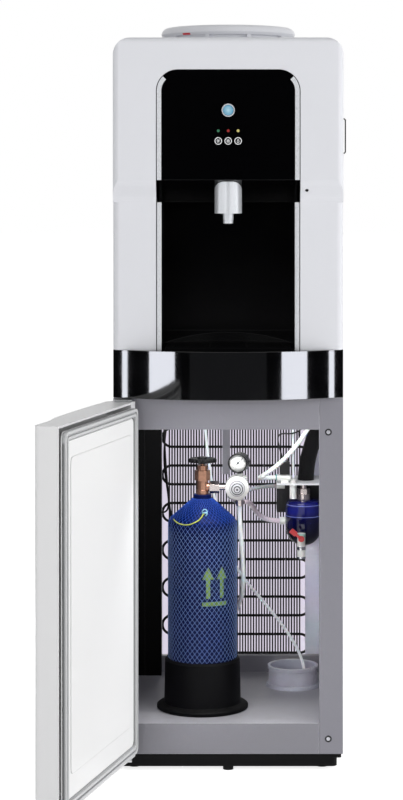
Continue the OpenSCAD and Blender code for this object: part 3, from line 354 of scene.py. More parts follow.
def finish(name, colour, rough, metal=0.0, grain_scale=900.0, spread=0.05, bump=0.0, patch=0.05, dusty=0.0,
           dust_and_sheen_colour=(168, 166, 160), edge=0.0008, wear_and_highlight=0.0, wear_and_highlight_colour=(205, 205, 210), ior=1.46,
           coat=0.0, coat_rough=0.05, stretch=None, glow=((255, 255, 255), 0.0), see=1.0, sheen=0.0,
           under=0.0, paint=None):
    """Colour * grain, then dust and pale edges, also painted sheen and highlight; roughness = rough +- patch.
    """
    material, tree, shader = new_material(name, {
        "Metallic": metal, "IOR": ior, "Coat Weight": coat, "Coat Roughness": coat_rough, "Alpha": see,
        "Sheen Weight": sheen, "Subsurface Weight": under, "Emission Color": srgb(*glow[0]),
        "Emission Strength": glow[1]})
    speckle = use(tree, grain, Scale=grain_scale, Spread=spread)
    base = tint(tree, 1.0, paint(tree) if paint else srgb(*colour), speckle["Tone"], "MULTIPLY")
    if stretch:
        dull = use(tree, brushed, Stretch=stretch)["Lines"]
        base = tint(tree, 1.0, base, remap(tree, dull, 0.0, 1.0, *BRUSH_TONE), "MULTIPLY")
    else:
        dull = use(tree, smudge, Scale=SMUDGE_SCALE)["Mask"]
    if edge:
        corner = use(tree, edges, Radius=edge)
        if wear_and_highlight:
            base = tint(tree, calc(tree, "MULTIPLY", corner["Edge"], wear_and_highlight), base, srgb(*wear_and_highlight_colour))
    if dusty:
        base = tint(tree, use(tree, dust, Amount=dusty)["Mask"], base, srgb(*dust_and_sheen_colour))
    tree.links.new(base, shader["Base Color"])
    polish = remap(tree, dull, 0.0, 1.0, max(LEAST_ROUGH, rough - patch), rough + patch)
    tree.links.new(polish, shader["Roughness"])
    if bump:
        keys = {"Height": speckle["Height"], "Strength": bump, "Distance": GRAIN_DEPTH}
        relief = add(tree, "ShaderNodeBump", keys)
        if edge:
            tree.links.new(corner["Normal"], relief.inputs["Normal"])
        tree.links.new(relief.outputs[0], shader["Normal"])
    elif edge:
        tree.links.new(corner["Normal"], shader["Normal"])
    material.diffuse_color = srgb(*colour)
    return material


def smooth(name, colour, rough, **settings):
    """A finish for a round or flat piece, which has no corners to soften."""
    return finish(name, colour, rough, edge=0.0, **settings)


print("recipe ready")

# %% [markdown]
# ## A finish for every slot of the record
#
# The part's record gives each solid a slot. The silver mouldings are a pearl plastic, the cabinet is grey
# powder coat with its orange-peel grain, and the panel and the drip band are polished black. The colours
# were set by comparing renders with the photograph, so they suit this light and this view best.

# %% Finishes of the head, the cabinet and the door
ALONG_X, ALONG_Z = (4.0, 60.0, 60.0), (60.0, 60.0, 4.0)
GREY = (143, 142, 150)
PEARL = dict(grain_scale=1600, spread=0.025, bump=0.06)
POWDER = dict(grain_scale=1300, spread=0.06, bump=0.25, dusty=0.25)
finishes = {
    "silver_plastic": finish("pearl_silver", (224, 225, 230), 0.36, **PEARL),
    # Pale edges on the grey powder coat are partly wear and partly painted highlight.
    "grey_paint": finish("grey_powder_coat", GREY, 0.42, wear_and_highlight=0.5, **POWDER),
    "black_moulding": finish("black_moulding", (10, 10, 11), 0.5, bump=0.25, dusty=0.04, wear_and_highlight=0.1, ior=1.2),
    "foot_rubber": finish("foot_rubber", (12, 12, 13), 0.75, bump=0.4, edge=0.0015, ior=1.3),
    "gloss_black": finish("polished_black", (5, 5, 6), 0.05, patch=0.02, spread=0.1, ior=1.7),
    "liner_black": finish("smooth_black", (4, 4, 5), 0.3, grain_scale=1500, spread=0.1, bump=0.05, ior=1.36),
    # The trims are plated, and part of their pale colour is painted reflection of a bright front.
    "trim_chrome": finish("bright_trim", (222, 224, 228), 0.32, metal=0.25, stretch=ALONG_Z, patch=0.08,
                          edge=0.001),
    "tap_silver": finish("tap_silver", (234, 237, 242), 0.3, metal=0.5, grain_scale=2200, spread=0.04),
    "board_green": finish("solder_mask", (32, 106, 64), 0.4, spread=0.2),
    "black_enamel": smooth("black_enamel", (7, 7, 9), 0.45, grain_scale=500, spread=0.15, dusty=0.08,
                           ior=1.3),
    "tank_steel": finish("brushed_tank", (196, 198, 200), 0.34, metal=1.0, stretch=ALONG_Z, patch=0.1),
    "gland_black": finish("gland_black", (18, 18, 20), 0.55, bump=0.2),
    "door_silver": finish("door_silver", (230, 230, 231), 0.36, **PEARL),
    "door_white": finish("formed_white", (247, 247, 247), 0.33, grain_scale=1200, spread=0.015, bump=0.05,
                         edge=0.0015, ior=1.12),
    "key_white": finish("key_black", (7, 7, 8), 0.12, spread=0.1),
    "cap_grey": finish("cap_grey", (219, 220, 224), 0.3),
    "hinge_steel": finish("zinc_plate", (198, 200, 202), 0.3, metal=1.0, stretch=ALONG_X, patch=0.1),
}
print(len(finishes), "finishes")

# %% [markdown]
# The gas set is put together from bought parts: enamelled steel, turned bronze, plated brass, lacquer and
# rubber. Tubes are round and small, so they have no edges to soften.

# %% Finishes of the gas set, the carbonator and the tubes
finishes.update({
    # The cylinder's dust layer is blue: a painted sheen that makes the faces that look up, the cone most,
    # brighter.
    "cylinder_blue": finish("cylinder_enamel", (8, 18, 64), 0.32, grain_scale=220, spread=0.2, bump=0.15,
                            patch=0.1, ior=1.15, dusty=0.35, dust_and_sheen_colour=(24, 56, 138)),
    "boot_rubber": finish("boot_rubber", (6, 6, 8), 0.55, grain_scale=400, bump=0.3, dusty=0.03, edge=0.0015,
                          ior=1.2),
    "valve_bronze": finish("turned_bronze", (180, 136, 114), 0.28, metal=1.0, grain_scale=300, spread=0.35,
                           bump=0.2, patch=0.12),
    "fitting_chrome": finish("plated_brass", (214, 203, 201), 0.2, metal=1.0, grain_scale=500, spread=0.08,
                             patch=0.08),
    "fitting_white": finish("white_moulding", (220, 220, 217), 0.4, bump=0.1, under=0.05),
    "regulator_white": finish("white_lacquer", (208, 208, 207), 0.28, grain_scale=700, spread=0.03, coat=0.3),
    "gauge_black": finish("gauge_black", (12, 12, 15), 0.25, spread=0.1),
    "wheel_black": finish("wheel_black", (8, 8, 10), 0.4, bump=0.2, wear_and_highlight=0.2, wear_and_highlight_colour=(70, 70, 74),
                          ior=1.35),
    "pump_black": finish("pump_black", (13, 13, 15), 0.42, bump=0.25, dusty=0.1),
    "bowl_blue": finish("bowl_blue", (12, 12, 100), 0.12, spread=0.12, coat=1.0, coat_rough=0.03, ior=1.55),
    "plate_white": finish("white_powder_coat", (226, 227, 230), 0.45, bump=0.2, dusty=0.15),
    "cup_grey": finish("cup_grey", (182, 184, 198), 0.3, bump=0.08, dusty=0.1, edge=0.0015),
    "lever_red": finish("lever_red", (196, 40, 44), 0.3, spread=0.08),
    "tube_white": smooth("natural_tube", (242, 243, 243), 0.32, grain_scale=300, spread=0.03, under=0.15),
    # The clear tube's faint glow is painted light, for what shines through it from behind.
    "tube_clear": smooth("clear_tube", (226, 229, 232), 0.18, grain_scale=300, see=0.95, under=0.2,
                         glow=((212, 212, 220), 0.25)),
    "hose_foam": smooth("foam_sleeve", (10, 10, 12), 0.85, grain_scale=700, spread=0.35, bump=0.9, sheen=0.08,
                        ior=1.3),
})
print(len(finishes), "finishes")

# %% [markdown]
# The three lamps are one solid, so their colours follow the place across the panel: green on the left, red
# in the middle, yellow on the right. A colour ramp with hard steps does this from the Object X coordinate.

# %% Lamps
LAMPS_X, LAMP_GLOW = (-0.02, 0.02), 0.06
LAMP_STOPS = ((0.0, (62, 116, 88)), (0.33, (150, 52, 50)), (0.67, (196, 186, 116)))
lamps = smooth("lamp_lens", (90, 200, 110), 0.15)
tree = lamps.node_tree
ramp = add(tree, "ShaderNodeValToRGB", {0: by_place(tree, "X", *LAMPS_X)})
ramp.color_ramp.interpolation = "CONSTANT"
stops = ramp.color_ramp.elements
for spot, colour in LAMP_STOPS:
    stop = stops[0] if spot == 0.0 else stops.new(spot)
    stop.position, stop.color = spot, srgb(*colour)
stops.remove(stops[-1])
shader = tree.nodes["Principled BSDF"].inputs
tree.links.new(ramp.outputs[0], shader["Base Color"])
tree.links.new(ramp.outputs[0], shader["Emission Color"])
shader["Emission Strength"].default_value = LAMP_GLOW
finishes["lamp"] = lamps
print("lamp stops", [round(stop.position, 2) for stop in stops])

# %% [markdown]
# ## Solids with a finish of their own
#
# The side panels are painted, but a rear flange that looks forward is taken as bare zinc, which is paler,
# and its pale lavender is also painted reflection of the bright back. Which way a face looks and how deep it
# lies decide between the two. The cabinet's floor is made paler on top than on its front edge, the apron,
# and palest in front: painted light. That is a choice to match the photograph under these lamps: the real
# floor is most likely one grey. The regulator's knob is turned in steps with grooves between them, and the
# shade in the grooves is painted as dark rings, so its colour follows the distance from its axis. The
# alcove's wall is painted paler just over the drip tray, which is painted light.

# %% Colours that follow direction and place
KNOB = (12.75, 97.5, 382.5)
GROOVE, FIRST_GROOVE = 0.0034, 0.0044        # metres from ring to ring, and to the first ring
FORWARD, UPWARD = (-0.5, -0.8), (0.5, 0.8)   # part of the normal where the change begins and ends
FLANGE_Y, FLOOR_Y, PAINTED_LIGHT_Z = (0.20, 0.22), (0.0, 0.14), (0.60, 0.71)


def zinc_and_painted_reflection(tree):
    """Paint, and zinc with painted reflection where the normal's Y part is below about -0.6, near the back.
    """
    bare = calc(tree, "MULTIPLY", by_facing(tree, "Y", *FORWARD), by_place(tree, "Y", *FLANGE_Y))
    return tint(tree, bare, srgb(135, 134, 142), srgb(214, 214, 230))


def floor_painted_light(tree):
    """Painted light: grey on the apron; on faces that look up, by the normal's Z, paler and palest in front.
    """
    top = tint(tree, by_place(tree, "Y", *FLOOR_Y), srgb(202, 201, 209), srgb(156, 155, 164))
    return tint(tree, by_facing(tree, "Z", *UPWARD), srgb(133, 132, 139), top)


def groove_shade_rings(tree):
    """Painted groove shade as dark rings: cos(2 pi (d - first) / groove), d the distance from the knob's
    axis.
    """
    along = calc(tree, "SUBTRACT", off_axis(tree, KNOB), FIRST_GROOVE)
    wave = calc(tree, "COSINE", calc(tree, "MULTIPLY", along, 2 * pi / GROOVE))
    return tint(tree, remap(tree, wave, 0.1, 0.6), srgb(190, 190, 194), srgb(30, 30, 34))


def painted_light_low(tree):
    """Deep black, painted paler over the lowest tenth of a metre by Object Z: painted light."""
    return tint(tree, by_place(tree, "Z", *PAINTED_LIGHT_Z), srgb(17, 17, 18), srgb(3, 3, 4))


print("alcove splashed up to", PAINTED_LIGHT_Z[1], "m")

# %% [markdown]
# The door's seal has pale lips and a dark groove, which is painted shade, so its colour follows the depth
# square to the door. The upright runs get more painted shade than the level ones. The seal is measured on
# the solid itself: its reach along the door's normal, and its height.

# %% Door seal
DOOR_OUT = (sin(radians(75)), -cos(radians(75)), 0.0)      # the way the open door's lining looks
LIP_IN, LIP_OUT = 0.001, 0.0006        # left off at the seal's root and at its lips
LEVEL_RUN = (0.016, 0.012)             # from the seal's ends to where its level runs begin
solid = frame["nodes"]["door_gasket"]
points = np.empty(len(solid.data.vertices) * 3)
solid.data.vertices.foreach_get("co", points)
reach = points.reshape(-1, 3) @ np.array(DOOR_OUT)
SEAL = (float(reach.min()) + LIP_IN, float(reach.max()) - LIP_OUT)
seal_low, seal_high = (corner[2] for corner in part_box("door_gasket"))
SEAL_MIDDLE, SEAL_HALF = (seal_low + seal_high) / 2, (seal_high - seal_low) / 2


def seal_painted_shade(tree):
    """Painted shade: dark to pale along the door's normal, root to lips, and darker on the upright runs."""
    height = vec(tree, "DOT_PRODUCT", spot_on(tree), DOOR_OUT)
    middle = calc(tree, "SUBTRACT", split(tree, spot_on(tree), "Z"), SEAL_MIDDLE)
    near_end = remap(tree, calc(tree, "ABSOLUTE", middle), *(SEAL_HALF - run for run in LEVEL_RUN))
    groove = tint(tree, near_end, srgb(74, 75, 78), srgb(168, 169, 171))
    return tint(tree, remap(tree, height, *SEAL), groove, srgb(212, 213, 214))


print("seal from", [round(v, 4) for v in SEAL], "m")

# %% [markdown]
# These finishes go to solids by name, and come before the finish of the slot.

# %% Own finishes
# The rear flanges' pale lavender is partly bare zinc and partly painted reflection.
side_paint_and_reflection = finish("paint_zinc_and_painted_reflection", GREY, 0.42, wear_and_highlight=0.5, paint=zinc_and_painted_reflection, **POWDER)
unlit_black = dict(colour=(2, 2, 3), rough=0.4, spread=0.1, ior=1.15)
own_finishes = {
    "left_side_panel": side_paint_and_reflection,
    "right_side_panel": side_paint_and_reflection,
    # Painted light: a paler top, palest in front, and pale edges that are painted highlight.
    "cabinet_floor": finish("floor_with_painted_light", GREY, 0.42, edge=0.0016, wear_and_highlight=0.8, paint=floor_painted_light, **POWDER),
    "adjusting_screw": finish("knob_with_painted_groove_shade", (200, 200, 203), 0.3, metal=0.3, paint=groove_shade_rings),
    "door_gasket": finish("door_seal", (190, 191, 193), 0.55, bump=0.15, edge=0.0012, paint=seal_painted_shade),
    "gauge_needle": finish("needle_grey", (46, 46, 50), 0.4),
    "alcove_liner": finish("alcove_black", (3, 3, 4), 0.16, patch=0.02, grain_scale=1500, spread=0.1, ior=1.3,
                           paint=painted_light_low),
    "cock_lever": finish("lever_wine", (178, 52, 54), 0.3, spread=0.08),
    "control_panel": finish("panel_black", (4, 4, 5), 0.05, patch=0.02, spread=0.1, ior=1.33),
    "drip_grille": smooth("grille_black", **unlit_black),
    "drip_basin": smooth("basin_black", **unlit_black),
}
print("own finishes:", ", ".join(own_finishes))

# %% [markdown]
# ## Dress the solids
#
# A solid keeps its mesh and its place, and only its material changes. The loop reads the record, so a solid
# that is added later and uses a known slot is dressed without a change here.

# %% Dress
for row in frame["record"]["subparts"]:
    coat = own_finishes.get(row["node"]) or finishes.get(row["material_slot"])
    if coat:
        solid = frame["nodes"][row["node"]]
        solid.data.materials.clear()
        solid.data.materials.append(coat)

# %% [markdown]
# ## Tubes and leads
#
# Each line in the cabinet runs from one fitting to another, so its route is known: it leaves a fitting
# along that fitting's axis and arrives along the next one's. A cubic curve does exactly this with four
# points, of which the two in the middle only steer. A circle is then carried along the curve. The solids
# use the same points with fewer rings.

# %% Routes
THIN = 0.004                       # lines up to this thickness get fewer sides


def cubic(points, rings):
    """Chain of cubic spans and its heading: B(t) = (1-t)^3 a + 3(1-t)^2 t b + 3(1-t) t^2 c + t^3 d."""
    p = place(points)
    spans = np.stack([p[i:i + 4] for i in range(0, len(p) - 1, 3)])
    t = np.linspace(0.0, 1.0, rings)[None, :, None]
    a, b, c, d = (spans[:, k][:, None] for k in range(4))
    line = (1 - t) ** 3 * a + 3 * (1 - t) ** 2 * t * b + 3 * (1 - t) * t ** 2 * c + t ** 3 * d
    heading = (1 - t) ** 2 * (b - a) + 2 * (1 - t) * t * (c - b) + t ** 2 * (d - c)
    keep = np.ones(line.shape[:2], bool)
    keep[1:, 0] = False
    heading = heading[keep]
    return line[keep], heading / np.linalg.norm(heading, axis=1, keepdims=True)


def heading_of(line, axis=0):
    """Unit direction along a line of points, by central differences."""
    heading = np.gradient(line, axis=axis)
    return heading / np.linalg.norm(heading, axis=-1, keepdims=True)


def swept(line, heading, radius, sides, hint):
    """Circle carried along a line: P = C + r (cos a U + sin a V), with U across heading and hint."""
    u = np.cross(heading, hint)
    u /= np.linalg.norm(u, axis=-1, keepdims=True)
    v = np.cross(u, heading)
    a = np.linspace(0.0, 2 * pi, sides, endpoint=False)[:, None]
    return line[..., None, :] + radius * (np.cos(a) * u[..., None, :] + np.sin(a) * v[..., None, :])


def lay_line(name, points, diameter, coat, node, hint, rings=28):
    """A round line along its route."""
    line, heading = cubic(points, rings)
    grid = swept(line, heading, diameter / 2, 16 if diameter > THIN else 10, hint)
    piece = make_piece(name, [grid], coat, uv=True, replaces=(node,))


# %% [markdown]
# Five lines are plain tube. The gas line drops from the regulator and runs to the rear rail, the feed line
# crosses to the carbonator, the drain line hangs from the shelf into the cup, and supply and riser carry
# water. Natural tube is milky, so light goes a little way into it, and the drain line is nearly clear. The
# drain line's faint glow is painted light, for what shines through it from behind.

# %% Gas, feed and water lines
white, clear, black = finishes["tube_white"], finishes["tube_clear"], finishes["hose_foam"]
grey_clear = smooth("grey_clear_tube", (204, 205, 210), 0.2, grain_scale=300, spread=0.06, see=0.88,
                    under=0.2)
lay_line("gas_line", [(16.25, 97.5, 355.5), (16.25, 97.5, 315.8), (26.25, 95.5, 251.8), (19.25, 123.5, 219.8),
                      (11.25, 155.5, 182.8), (-39.95, 220, 80.5), (-39.95, 299.7, 80.5)],
         0.0064, white, "gas_tubes", (1, 0.25, 0))
lay_line("feed_line", [(12.32, 105.929, 359.8), (1.036, 130.127, 359.8), (24, 200, 369.5),
                       (71.7, 200, 369.5)],
         0.0056, grey_clear, "gas_tubes", (0, 0, 1), rings=40)
lay_line("drain_line", [(-36.95, 225, 520), (-36.95, 225, 420.3), (-15.95, 199, 280.5), (24.05, 203, 230.5),
                        (58.05, 207, 188.5), (110, 231, 131.5), (114, 233, 86.5)],
         0.0042, clear, "drain_tube", (0, 1, 0))
lay_line("supply_line", [(137, 132, 520), (137, 132, 490.3), (106, 132, 437.3), (69, 132, 407.3),
                         (58, 132, 398.3), (46, 144, 390.3), (46, 158, 387.3), (46, 172, 384.3),
                         (57, 184, 384.5), (71.7, 184, 384.5)],
         0.0064, white, "water_tubes", (1, -1, -1))
lay_line("riser_line", [(96, 186, 381.9), (96, 186, 420), (96, 200, 460.3), (96, 200, 520)],
         0.004, white, "water_tubes", (1, 0, 0), rings=40)

# %% [markdown]
# The hose to the bowl is clear plastic over a pink braid. Its pattern follows the hose, so it reads the
# piece's own UV map: around in turns, along in metres. Two sets of slanted stripes cross, and where either
# is high a yarn stands up.

# %% Braided hose
BRAID_STARTS, BRAID_PER_METRE, YARN_HEIGHT = 8, 420, 0.0005


def yarns(tree):
    """Height of the crossing yarns: the higher of sin(a + s) and sin(a - s), a around and s along."""
    along = add(tree, "ShaderNodeUVMap", uv_map="along").outputs[0]
    turns = calc(tree, "MULTIPLY", split(tree, along, "X"), 2 * pi * BRAID_STARTS)
    run = calc(tree, "MULTIPLY", split(tree, along, "Y"), 2 * pi * BRAID_PER_METRE)
    left, right = (calc(tree, "SINE", calc(tree, way, turns, run)) for way in ("ADD", "SUBTRACT"))
    return remap(tree, calc(tree, "MAXIMUM", left, right), 0.1, 0.9)


def pink_braid(tree):
    """Pink between the yarns, nearly white on them."""
    return tint(tree, yarns(tree), srgb(206, 178, 196), srgb(243, 232, 240))


braid = smooth("braided_hose", (222, 204, 214), 0.25, coat=0.6, paint=pink_braid)
tree = braid.node_tree
relief = add(tree, "ShaderNodeBump", {"Height": yarns(tree), "Strength": 0.5, "Distance": YARN_HEIGHT})
tree.links.new(relief.outputs[0], tree.nodes["Principled BSDF"].inputs["Normal"])
lay_line("bowl_hose", [(21.178, 105.387, 359.8), (41.686, 138.206, 359.8), (31, 200, 318), (76.7, 200, 318)],
         0.0072, braid, "braided_hose", (0, 0, 1), rings=48)

# %% [markdown]
# A thick hose in a black foam sleeve and four thin leads come down from the machine space. Foam has an open,
# rough surface with a faint sheen, and the leads are smooth. Thin leads are limp, and the sleeve is stiff.

# %% Foam sleeve and leads
lay_line("foam_line", [(116, 216, 376.8), (116, 216, 430), (141, 218, 444.3), (141, 218, 520)],
         0.024, black, "foam_hose", (0, 1, 0), rings=40)
lead = smooth("black_lead", (12, 12, 13), 0.4, spread=0.1)
for name, diameter, points in (
        ("condenser_lead", 0.0028, [(-90, 303, 520), (-90, 303, 460.3), (-100, 303, 430.3), (-98, 303, 390.3),
                                    (-96, 303, 350.3), (-82, 303, 314.3), (-101.7, 303, 314.3)]),
        ("fan_lead", 0.0028, [(-99, 298, 520), (-99, 298, 430.3), (-96, 298, 370.3), (-87, 299, 305.3),
                              (-80, 300, 255.3), (-82, 321, 156.5), (-82, 321, 92)]),
        ("coil_lead_a", 0.0022, [(80, 179, 408.3), (80, 179, 426), (62, 178, 452), (85, 178, 450),
                                 (106, 178, 448), (126, 182, 462), (126, 182, 520)]),
        ("coil_lead_b", 0.0022, [(88, 179, 408.3), (88, 179, 424), (107, 182, 430), (105, 183, 444),
                                 (102, 184, 464), (117, 186, 468), (117, 186, 520)])):
    lay_line(name, points, diameter, lead, "foam_hose", (0, 1, 0))

# %% [markdown]
# ## The condenser's wires
#
# The condenser is a bent tube with wires spot-welded to both sides, and the whole is dipped in black enamel.
# The photograph shows the wires about as wide as the gaps between them, so they are drawn thicker here than
# the solids' bare wire. The extra thickness was picked to fit the picture, and real enamel would add less.
# All wires stand between the same two heights, so they are one grid of tubes.

# %% Wires in enamel
WIRE_PITCH, WIRE_R, THICKER = 4.2, 0.8, 0.28


def box_in_mm(node):
    """A solid's lowest and highest corner, in millimetres from the cabinet's face."""
    return (np.array(corner) * 1000 - FACE_TO_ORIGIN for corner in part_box(node))


low, high = box_in_mm("condenser_wires")
half_flat = WIRE_R * cos(pi / 6)               # the bare wire is six-sided
x, y, z = np.meshgrid(np.arange(low[0] + WIRE_R, high[0], WIRE_PITCH),
                      [low[1] + half_flat, high[1] - half_flat], [low[2], high[2]], indexing="ij")
wires = place(np.stack([x, y, z], -1).reshape(-1, 2, 3))
tubes = swept(wires, heading_of(wires, 1), (WIRE_R + THICKER) * 0.001, 8, (0, 1, 0))
make_piece("enamelled_wires", list(tubes), finishes["black_enamel"],
           replaces=("condenser_wires",))

# %% [markdown]
# ## The net on the gas cylinder
#
# A protective net is extruded as two sets of strands that wind opposite ways. On the straight wall each
# strand is a helix, and over the shoulder it climbs the cone and gathers at the neck. The solids only have
# the envelope, because hundreds of gaps would be slow to collide. Here every strand is a four-sided tube:
# the radius and height follow the cylinder's outline by length, and the angle grows with that length.

# %% Cylinder outline
NET_LOW, SHOULDER_DROP, SHOULDER_R = 138.9, 44, 16     # above the boot, below the top, the bend's radius
NECK_R, NECK_DROP, CONE = 13.0, 5.4, 46                # where the net ends, and the bend's angle
low, high = box_in_mm("gas_cylinder")
cyl_x, cyl_y = ((low + high) / 2)[:2]
cyl_r, cyl_top = (high[0] - low[0]) / 2, high[2]
bend = np.radians(np.linspace(0, CONE, 6))[1:]
shoulder = np.stack([cyl_r - SHOULDER_R + SHOULDER_R * np.cos(bend),
                     cyl_top - SHOULDER_DROP + SHOULDER_R * np.sin(bend)], 1)
outline = np.vstack([[cyl_r, NET_LOW], [cyl_r, cyl_top - SHOULDER_DROP], shoulder,
                     [NECK_R, cyl_top - NECK_DROP]])
outline_run = run_of(outline)


def on_cylinder(angle, radius, height):
    """Angle from the front, radius and height to a point: (x, y) = centre + r (sin a, -cos a)."""
    return xyz(cyl_x + radius * np.sin(angle), cyl_y - radius * np.cos(angle), height)


print("cylinder radius", round(cyl_r, 1), "mm, top", round(cyl_top, 1), "mm")

# %% [markdown]
# The net looks pale on the dark wall, where its meshes are open, and a strong blue on the cone, where they
# close up and light passes from strand to strand. The strands are one colour, so one strand material paints
# both by height, as painted light.

# %% Net
STRANDS, STRAND_RINGS, STRAND_R, SLANT = 44, 96, 0.00027, 0.78
INNER, OUTER = 0.85, 1.05          # how far the two sets stand off the wall
GATHER_Z = (0.318, 0.338)


def strand_painted_light(tree):
    """Painted light: pale below the shoulder, blue above it, by Object Z."""
    return tint(tree, by_place(tree, "Z", *GATHER_Z), srgb(124, 152, 206), srgb(32, 70, 160))


def net_strands(turn, lift):
    """Strand k at length s: angle = 2 pi k/n + turn * slant * s/R, radius and height from the outline."""
    s = np.linspace(0, outline_run[-1], STRAND_RINGS)
    radius = np.interp(s, outline_run, outline[:, 0]) + lift
    height = np.interp(s, outline_run, outline[:, 1])
    angle = 2 * pi * np.arange(STRANDS)[:, None] / STRANDS + turn * SLANT * s / cyl_r
    line = place(on_cylinder(angle, radius, height))
    outward = xyz(np.sin(angle), -np.cos(angle), 0.25)
    return list(swept(line, heading_of(line, 1), STRAND_R, 4, outward))


strand = smooth("net_strand", (124, 152, 206), 0.35, grain_scale=300, spread=0.3, ior=1.25, paint=strand_painted_light)
make_piece("net_strands", net_strands(1, INNER) + net_strands(-1, OUTER), strand,
           replaces=("net_sleeve",))

# %% [markdown]
# A yellow-green drawstring is threaded through the net at the shoulder and tied in front. It lies on the
# cone, so its radius comes from the same outline, a little further out than the strands. The knot is a
# closed curve of sines, which crosses itself as a real knot does.

# %% Drawstring and knot
STRING_D, KNOT_R, STRING_LIFT, EASE = 0.0018, 0.0008, 2.4, 13
YARN = dict(grain_scale=1500, spread=0.25, bump=0.5)
cord_green = smooth("drawstring", (178, 184, 74), 0.6, **YARN)
cord_pale = smooth("pale_cord", (150, 196, 214), 0.6, **YARN)
t = np.linspace(0, 1, 60)
angle = np.radians(np.interp(t, [0, 0.35, 0.7, 1.0], [-62, -30, -6, 6]))
height = np.interp(t, [0, 0.2, 0.45, 0.75, 1.0], [340, 335.5, 334.5, 343, 352])
height = np.convolve(np.pad(height, EASE // 2, mode="edge"), np.ones(EASE) / EASE, mode="valid")
radius = np.interp(height, outline[:, 1], outline[:, 0]) + STRING_LIFT
string = place(on_cylinder(angle, radius, height))
drawstring = make_piece("drawstring", [swept(string, heading_of(string), STRING_D / 2, 10, (0, 1, 0))],
                        cord_green, uv=True)
a = np.linspace(0, 2 * pi, 90)
twist = np.stack([3.4 * np.sin(2 * a), 1.6 * np.sin(3 * a) - 1.5, 3.2 * np.cos(a) + 1.6 * np.cos(3 * a)], 1)
knot_line = string[-1] + twist * 0.001
knot = make_piece("drawstring_knot", [swept(knot_line, heading_of(knot_line), KNOT_R, 8, (0.3, 1.0, 0.2))],
                  cord_pale)

# %% [markdown]
# The cylinder carries a stencilled sign under the net. Two upright arrows over a bar, the common sign for
# "keep upright", are patches of the cylinder's own wall, a quarter of a millimetre proud.

# %% Stencilled sign
PROUD = 0.25
BAR, SHAFT, HEAD = (220, 226), (231, 258), (258, 275)      # bottom and top of the bar and of an arrow
BAR_END, SHAFT_HALF, HEAD_HALF, TIP_HALF = 38, 3, 8.5, 0.4
paint = smooth("stencil_paint", (116, 146, 56), 0.5, grain_scale=200, spread=0.8)


def stencil(low_edge, high_edge, bottom, top, steps=9):
    """Patch on the wall: across = low + (high - low) u, height = bottom + (top - bottom) v."""
    v = np.linspace(0, 1, steps)[:, None]
    u = np.linspace(0, 1, steps)[None]
    left = low_edge[0] + (low_edge[1] - low_edge[0]) * v
    right = high_edge[0] + (high_edge[1] - high_edge[0]) * v
    across = left + (right - left) * u
    return place(on_cylinder(across / cyl_r, cyl_r + PROUD, bottom + (top - bottom) * v + 0 * u))


patches = [stencil((0, 0), (BAR_END, BAR_END), *BAR)]
for m in (8.5, 29.5):
    patches.append(stencil((m - SHAFT_HALF, m - SHAFT_HALF), (m + SHAFT_HALF, m + SHAFT_HALF), *SHAFT))
    patches.append(stencil((m - HEAD_HALF, m - TIP_HALF), (m + HEAD_HALF, m + TIP_HALF), *HEAD))
make_piece("upright_sign", patches, paint, wrap=False, caps=False,
           behind=place((cyl_x, cyl_y, 245)))

# %% [markdown]
# ## Turned and round pieces
#
# Dials, buttons and rings are turned shapes: a profile of radius against depth, carried round an axis. On
# this machine most of them face forward, so the axis is Y, and the depth counts from the piece's own centre.

# %% Turning helpers
def turn_about_z(points, lean):
    """Points turned about Z: (x, y) -> (x cos l - y sin l, x sin l + y cos l)."""
    return points @ np.array([[cos(lean), -sin(lean), 0], [sin(lean), cos(lean), 0], [0, 0, 1]]).T


def carried_round(profile, sides):
    """Profile (radius, depth) at every angle a: gives r cos a, r sin a and the depth d."""
    radius, depth = np.array(profile, float).T[:, :, None]
    a = np.linspace(0, 2 * pi, sides, endpoint=False)[None]
    return radius * np.cos(a), radius * np.sin(a), depth


def turned_shape(profile, centre, sides=48, lean=0.0):
    """Profile (radius, depth) round Y, then turned about Z by lean: P = c + Rz (r cos a, d, r sin a)."""
    across, up, depth = carried_round(profile, sides)
    return place(turn_about_z(xyz(across, depth, up), lean) + np.array(centre))


FACE = -17.0                       # the panel's front
POUR = (0.0, FACE, 920.39)
WELL_BEHIND = np.array((0, 100, 0))
print("panel face at", FACE, "mm")

# %% [markdown]
# The pour button is a plated ring with a blue lens. A lamp behind a lens is brightest in the middle, so the
# lens pales towards its centre and glows only a little.

# %% Pour button
def lit_lens(tree):
    """Pale centre to a teal edge, by the distance from the button's axis."""
    out = remap(tree, off_axis(tree, POUR), 0.001, 0.0065)
    return tint(tree, out, srgb(168, 205, 220), srgb(84, 152, 184))


ring_plate = smooth("button_ring", (196, 199, 204), 0.2, metal=0.6, spread=0.03)
lens_blue = smooth("button_lens", (120, 180, 205), 0.18, spread=0.04, coat=0.8, glow=((110, 170, 200), 0.08),
                   paint=lit_lens)
ring = [(8.2, 4.0), (8.2, -2.5), (9.2, -2.7), (9.2, -3.0), (8.8, -3.35), (8.0, -3.4), (7.3, -2.8), (7.2, 4.0)]
make_piece("pour_ring", [turned_shape(ring, POUR)], ring_plate, "pour", caps=False,
           replaces=("pour_button",))
dome = [(7.1, 4.0), (7.1, -2.6), (6.5, -2.95), (5.0, -3.2), (2.5, -3.35), (0.02, -3.4)]
make_piece("pour_lens", [turned_shape(dome, POUR)], lens_blue, "pour",
           replaces=("pour_button",))

# %% [markdown]
# The three choice buttons are black caps with a white ring and a small sign: a snow star for cold, three
# rising waves for hot and a drop for water as it comes. The photograph is too coarse to read the signs, so
# these are a guess. Each sign is a flat strip that stands just off the cap, and moves with its own button.

# %% Button signs
KEY_Z, KEY_PITCH, KEY_PROUD = 878.0, 13.7, 1.95
HALO_R, HALO_WIDTH, SIGN_WIDTH = 4.6, 1.0, 0.7
print_white = smooth("button_print", (240, 241, 243), 0.4, spread=0.03)


